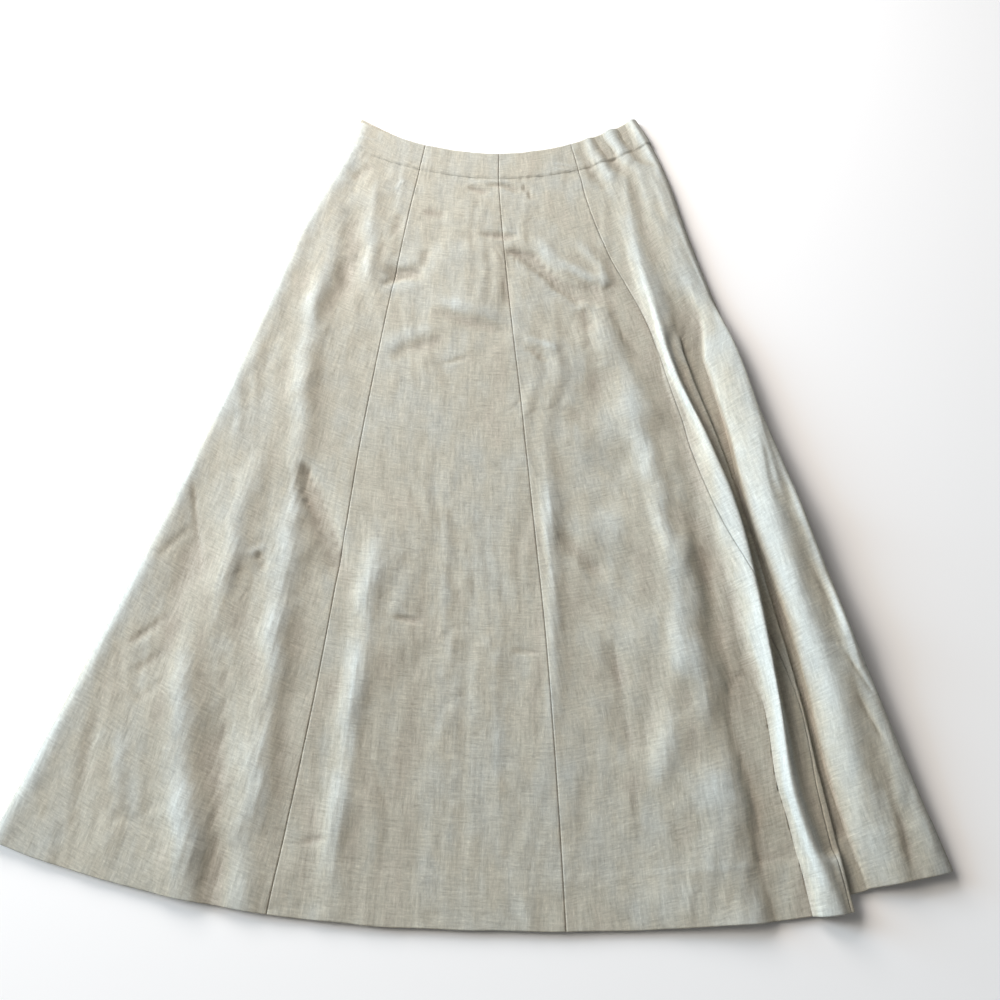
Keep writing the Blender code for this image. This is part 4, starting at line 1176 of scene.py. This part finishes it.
def lay_table():
    """The pale surface that the skirt lies on."""
    mesh = bpy.data.meshes.new("table")
    around = ((-1, -1), (1, -1), (1, 1), (-1, 1))
    corners = [(x * TABLE_REACH, y * TABLE_REACH, -TABLE_BELOW) for x, y in around]
    mesh.from_pydata(corners, [], [(0, 1, 2, 3)])
    material = bpy.data.materials.new("pale table")
    material.use_nodes = True
    shader = material.node_tree.nodes["Principled BSDF"]
    shader.inputs["Base Color"].default_value = (0.93, 0.93, 0.93, 1.0)
    shader.inputs["Roughness"].default_value = 0.9
    shader.inputs["Specular IOR Level"].default_value = 0.1
    mesh.materials.append(material)
    table = bpy.data.objects.new("table", mesh)
    bpy.context.scene.collection.objects.link(table)


# Lamps: where each stands, what it faces, its width, its watts and its colour
LAMP_COLUMNS = ("place", "aim", "size", "power", "colour")
LAMPS = {
    "window": ((-7.50, 2.20, 1.84), (0.0, 0.0, 0.0), 2.4, 690.0, (0.53, 0.77, 1.0)),
    "room": ((-6.20, 2.00, 4.00), (0.0, 0.0, 0.0), 2.6, 400.0, (1.0, 0.93, 0.84)),
    "waist": ((-0.95, 1.25, 0.85), (0.03, 0.45, 0.0), 0.9, 39.0, (1.0, 0.94, 0.91)),
}


AIR_COLOUR = (1.0, 0.98, 0.95, 1.0)
AIR_STRENGTH = 0.16


def light_scene():
    """Low cool light from a window at the left, warm light above it, and a warm lamp near the waist."""
    for name, row in LAMPS.items():
        lamp = dict(zip(LAMP_COLUMNS, row))
        light = bpy.data.lights.new(name, "AREA")
        light.shape = "SQUARE"
        light.size = lamp["size"]
        light.energy = lamp["power"]
        light.color = lamp["colour"]
        place = np.array(lamp["place"])
        aim = place - np.array(lamp["aim"])
        thing = bpy.data.objects.new(name, light)
        thing.location = lamp["place"]
        flat = math.hypot(aim[0], aim[1])
        thing.rotation_euler = (math.atan2(flat, aim[2]), 0.0, math.atan2(aim[0], -aim[1]))
        thing.visible_camera = False
        bpy.context.scene.collection.objects.link(thing)
    world = bpy.data.worlds.new("pale air")
    world.use_nodes = True
    world.node_tree.nodes["Background"].inputs["Color"].default_value = AIR_COLOUR
    world.node_tree.nodes["Background"].inputs["Strength"].default_value = AIR_STRENGTH
    bpy.context.scene.world = world


# A wide phone lens, stated for a frame 36 mm wide, and where the phone was held
CAMERA_LENS = 27.04
CAMERA_PLACE = (0.0270, -0.3583, 0.7129)
CAMERA_TILT = 22.0


def stand_camera():
    """A phone held over the skirt's hem and tilted towards its waist."""
    camera = bpy.data.cameras.new("camera")
    camera.sensor_width = 36.0
    camera.lens = CAMERA_LENS
    camera.clip_start = 0.01
    thing = bpy.data.objects.new("camera", camera)
    thing.location = CAMERA_PLACE
    thing.rotation_euler = (math.radians(CAMERA_TILT), 0.0, 0.0)
    bpy.context.scene.collection.objects.link(thing)
    bpy.context.scene.camera = thing


def write_sizes():
    """Brings the scene's placements up to date."""
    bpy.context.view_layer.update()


def main():
    """Lays the eight gores and the stitching, then the table, the light and the camera."""
    stand_camera()
    linen = linen_material(plain_weave_group(), linen_colour_and_crest_light_group())
    down = rows_down()
    front = front_sections(down)
    # The crest attribute sets the painted light on crests and the painted shade in hollows
    front["crest"] = sum(
        share * stands_proud(front, down, reach, full) for share, reach, full in CREST_SCALES
    )
    seams = seam_lengths(front, down)
    for number, (node, columns) in enumerate(GORE_COLUMNS.items()):
        name = node.replace("_gore", "_cloth")
        declare(lay_front_gore(name, number, columns, front, seams, down, linen), node)
    for number, node in enumerate(BACK_GORES):
        name = node.replace("_gore", "_cloth")
        declare(lay_back_gore(name, number, linen), node)
    stitching = sew_casing(thread_material())
    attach(stitching, "root")
    lay_table()
    light_scene()
    bpy.context.scene.view_settings.view_transform = "Standard"
    write_sizes()


main()
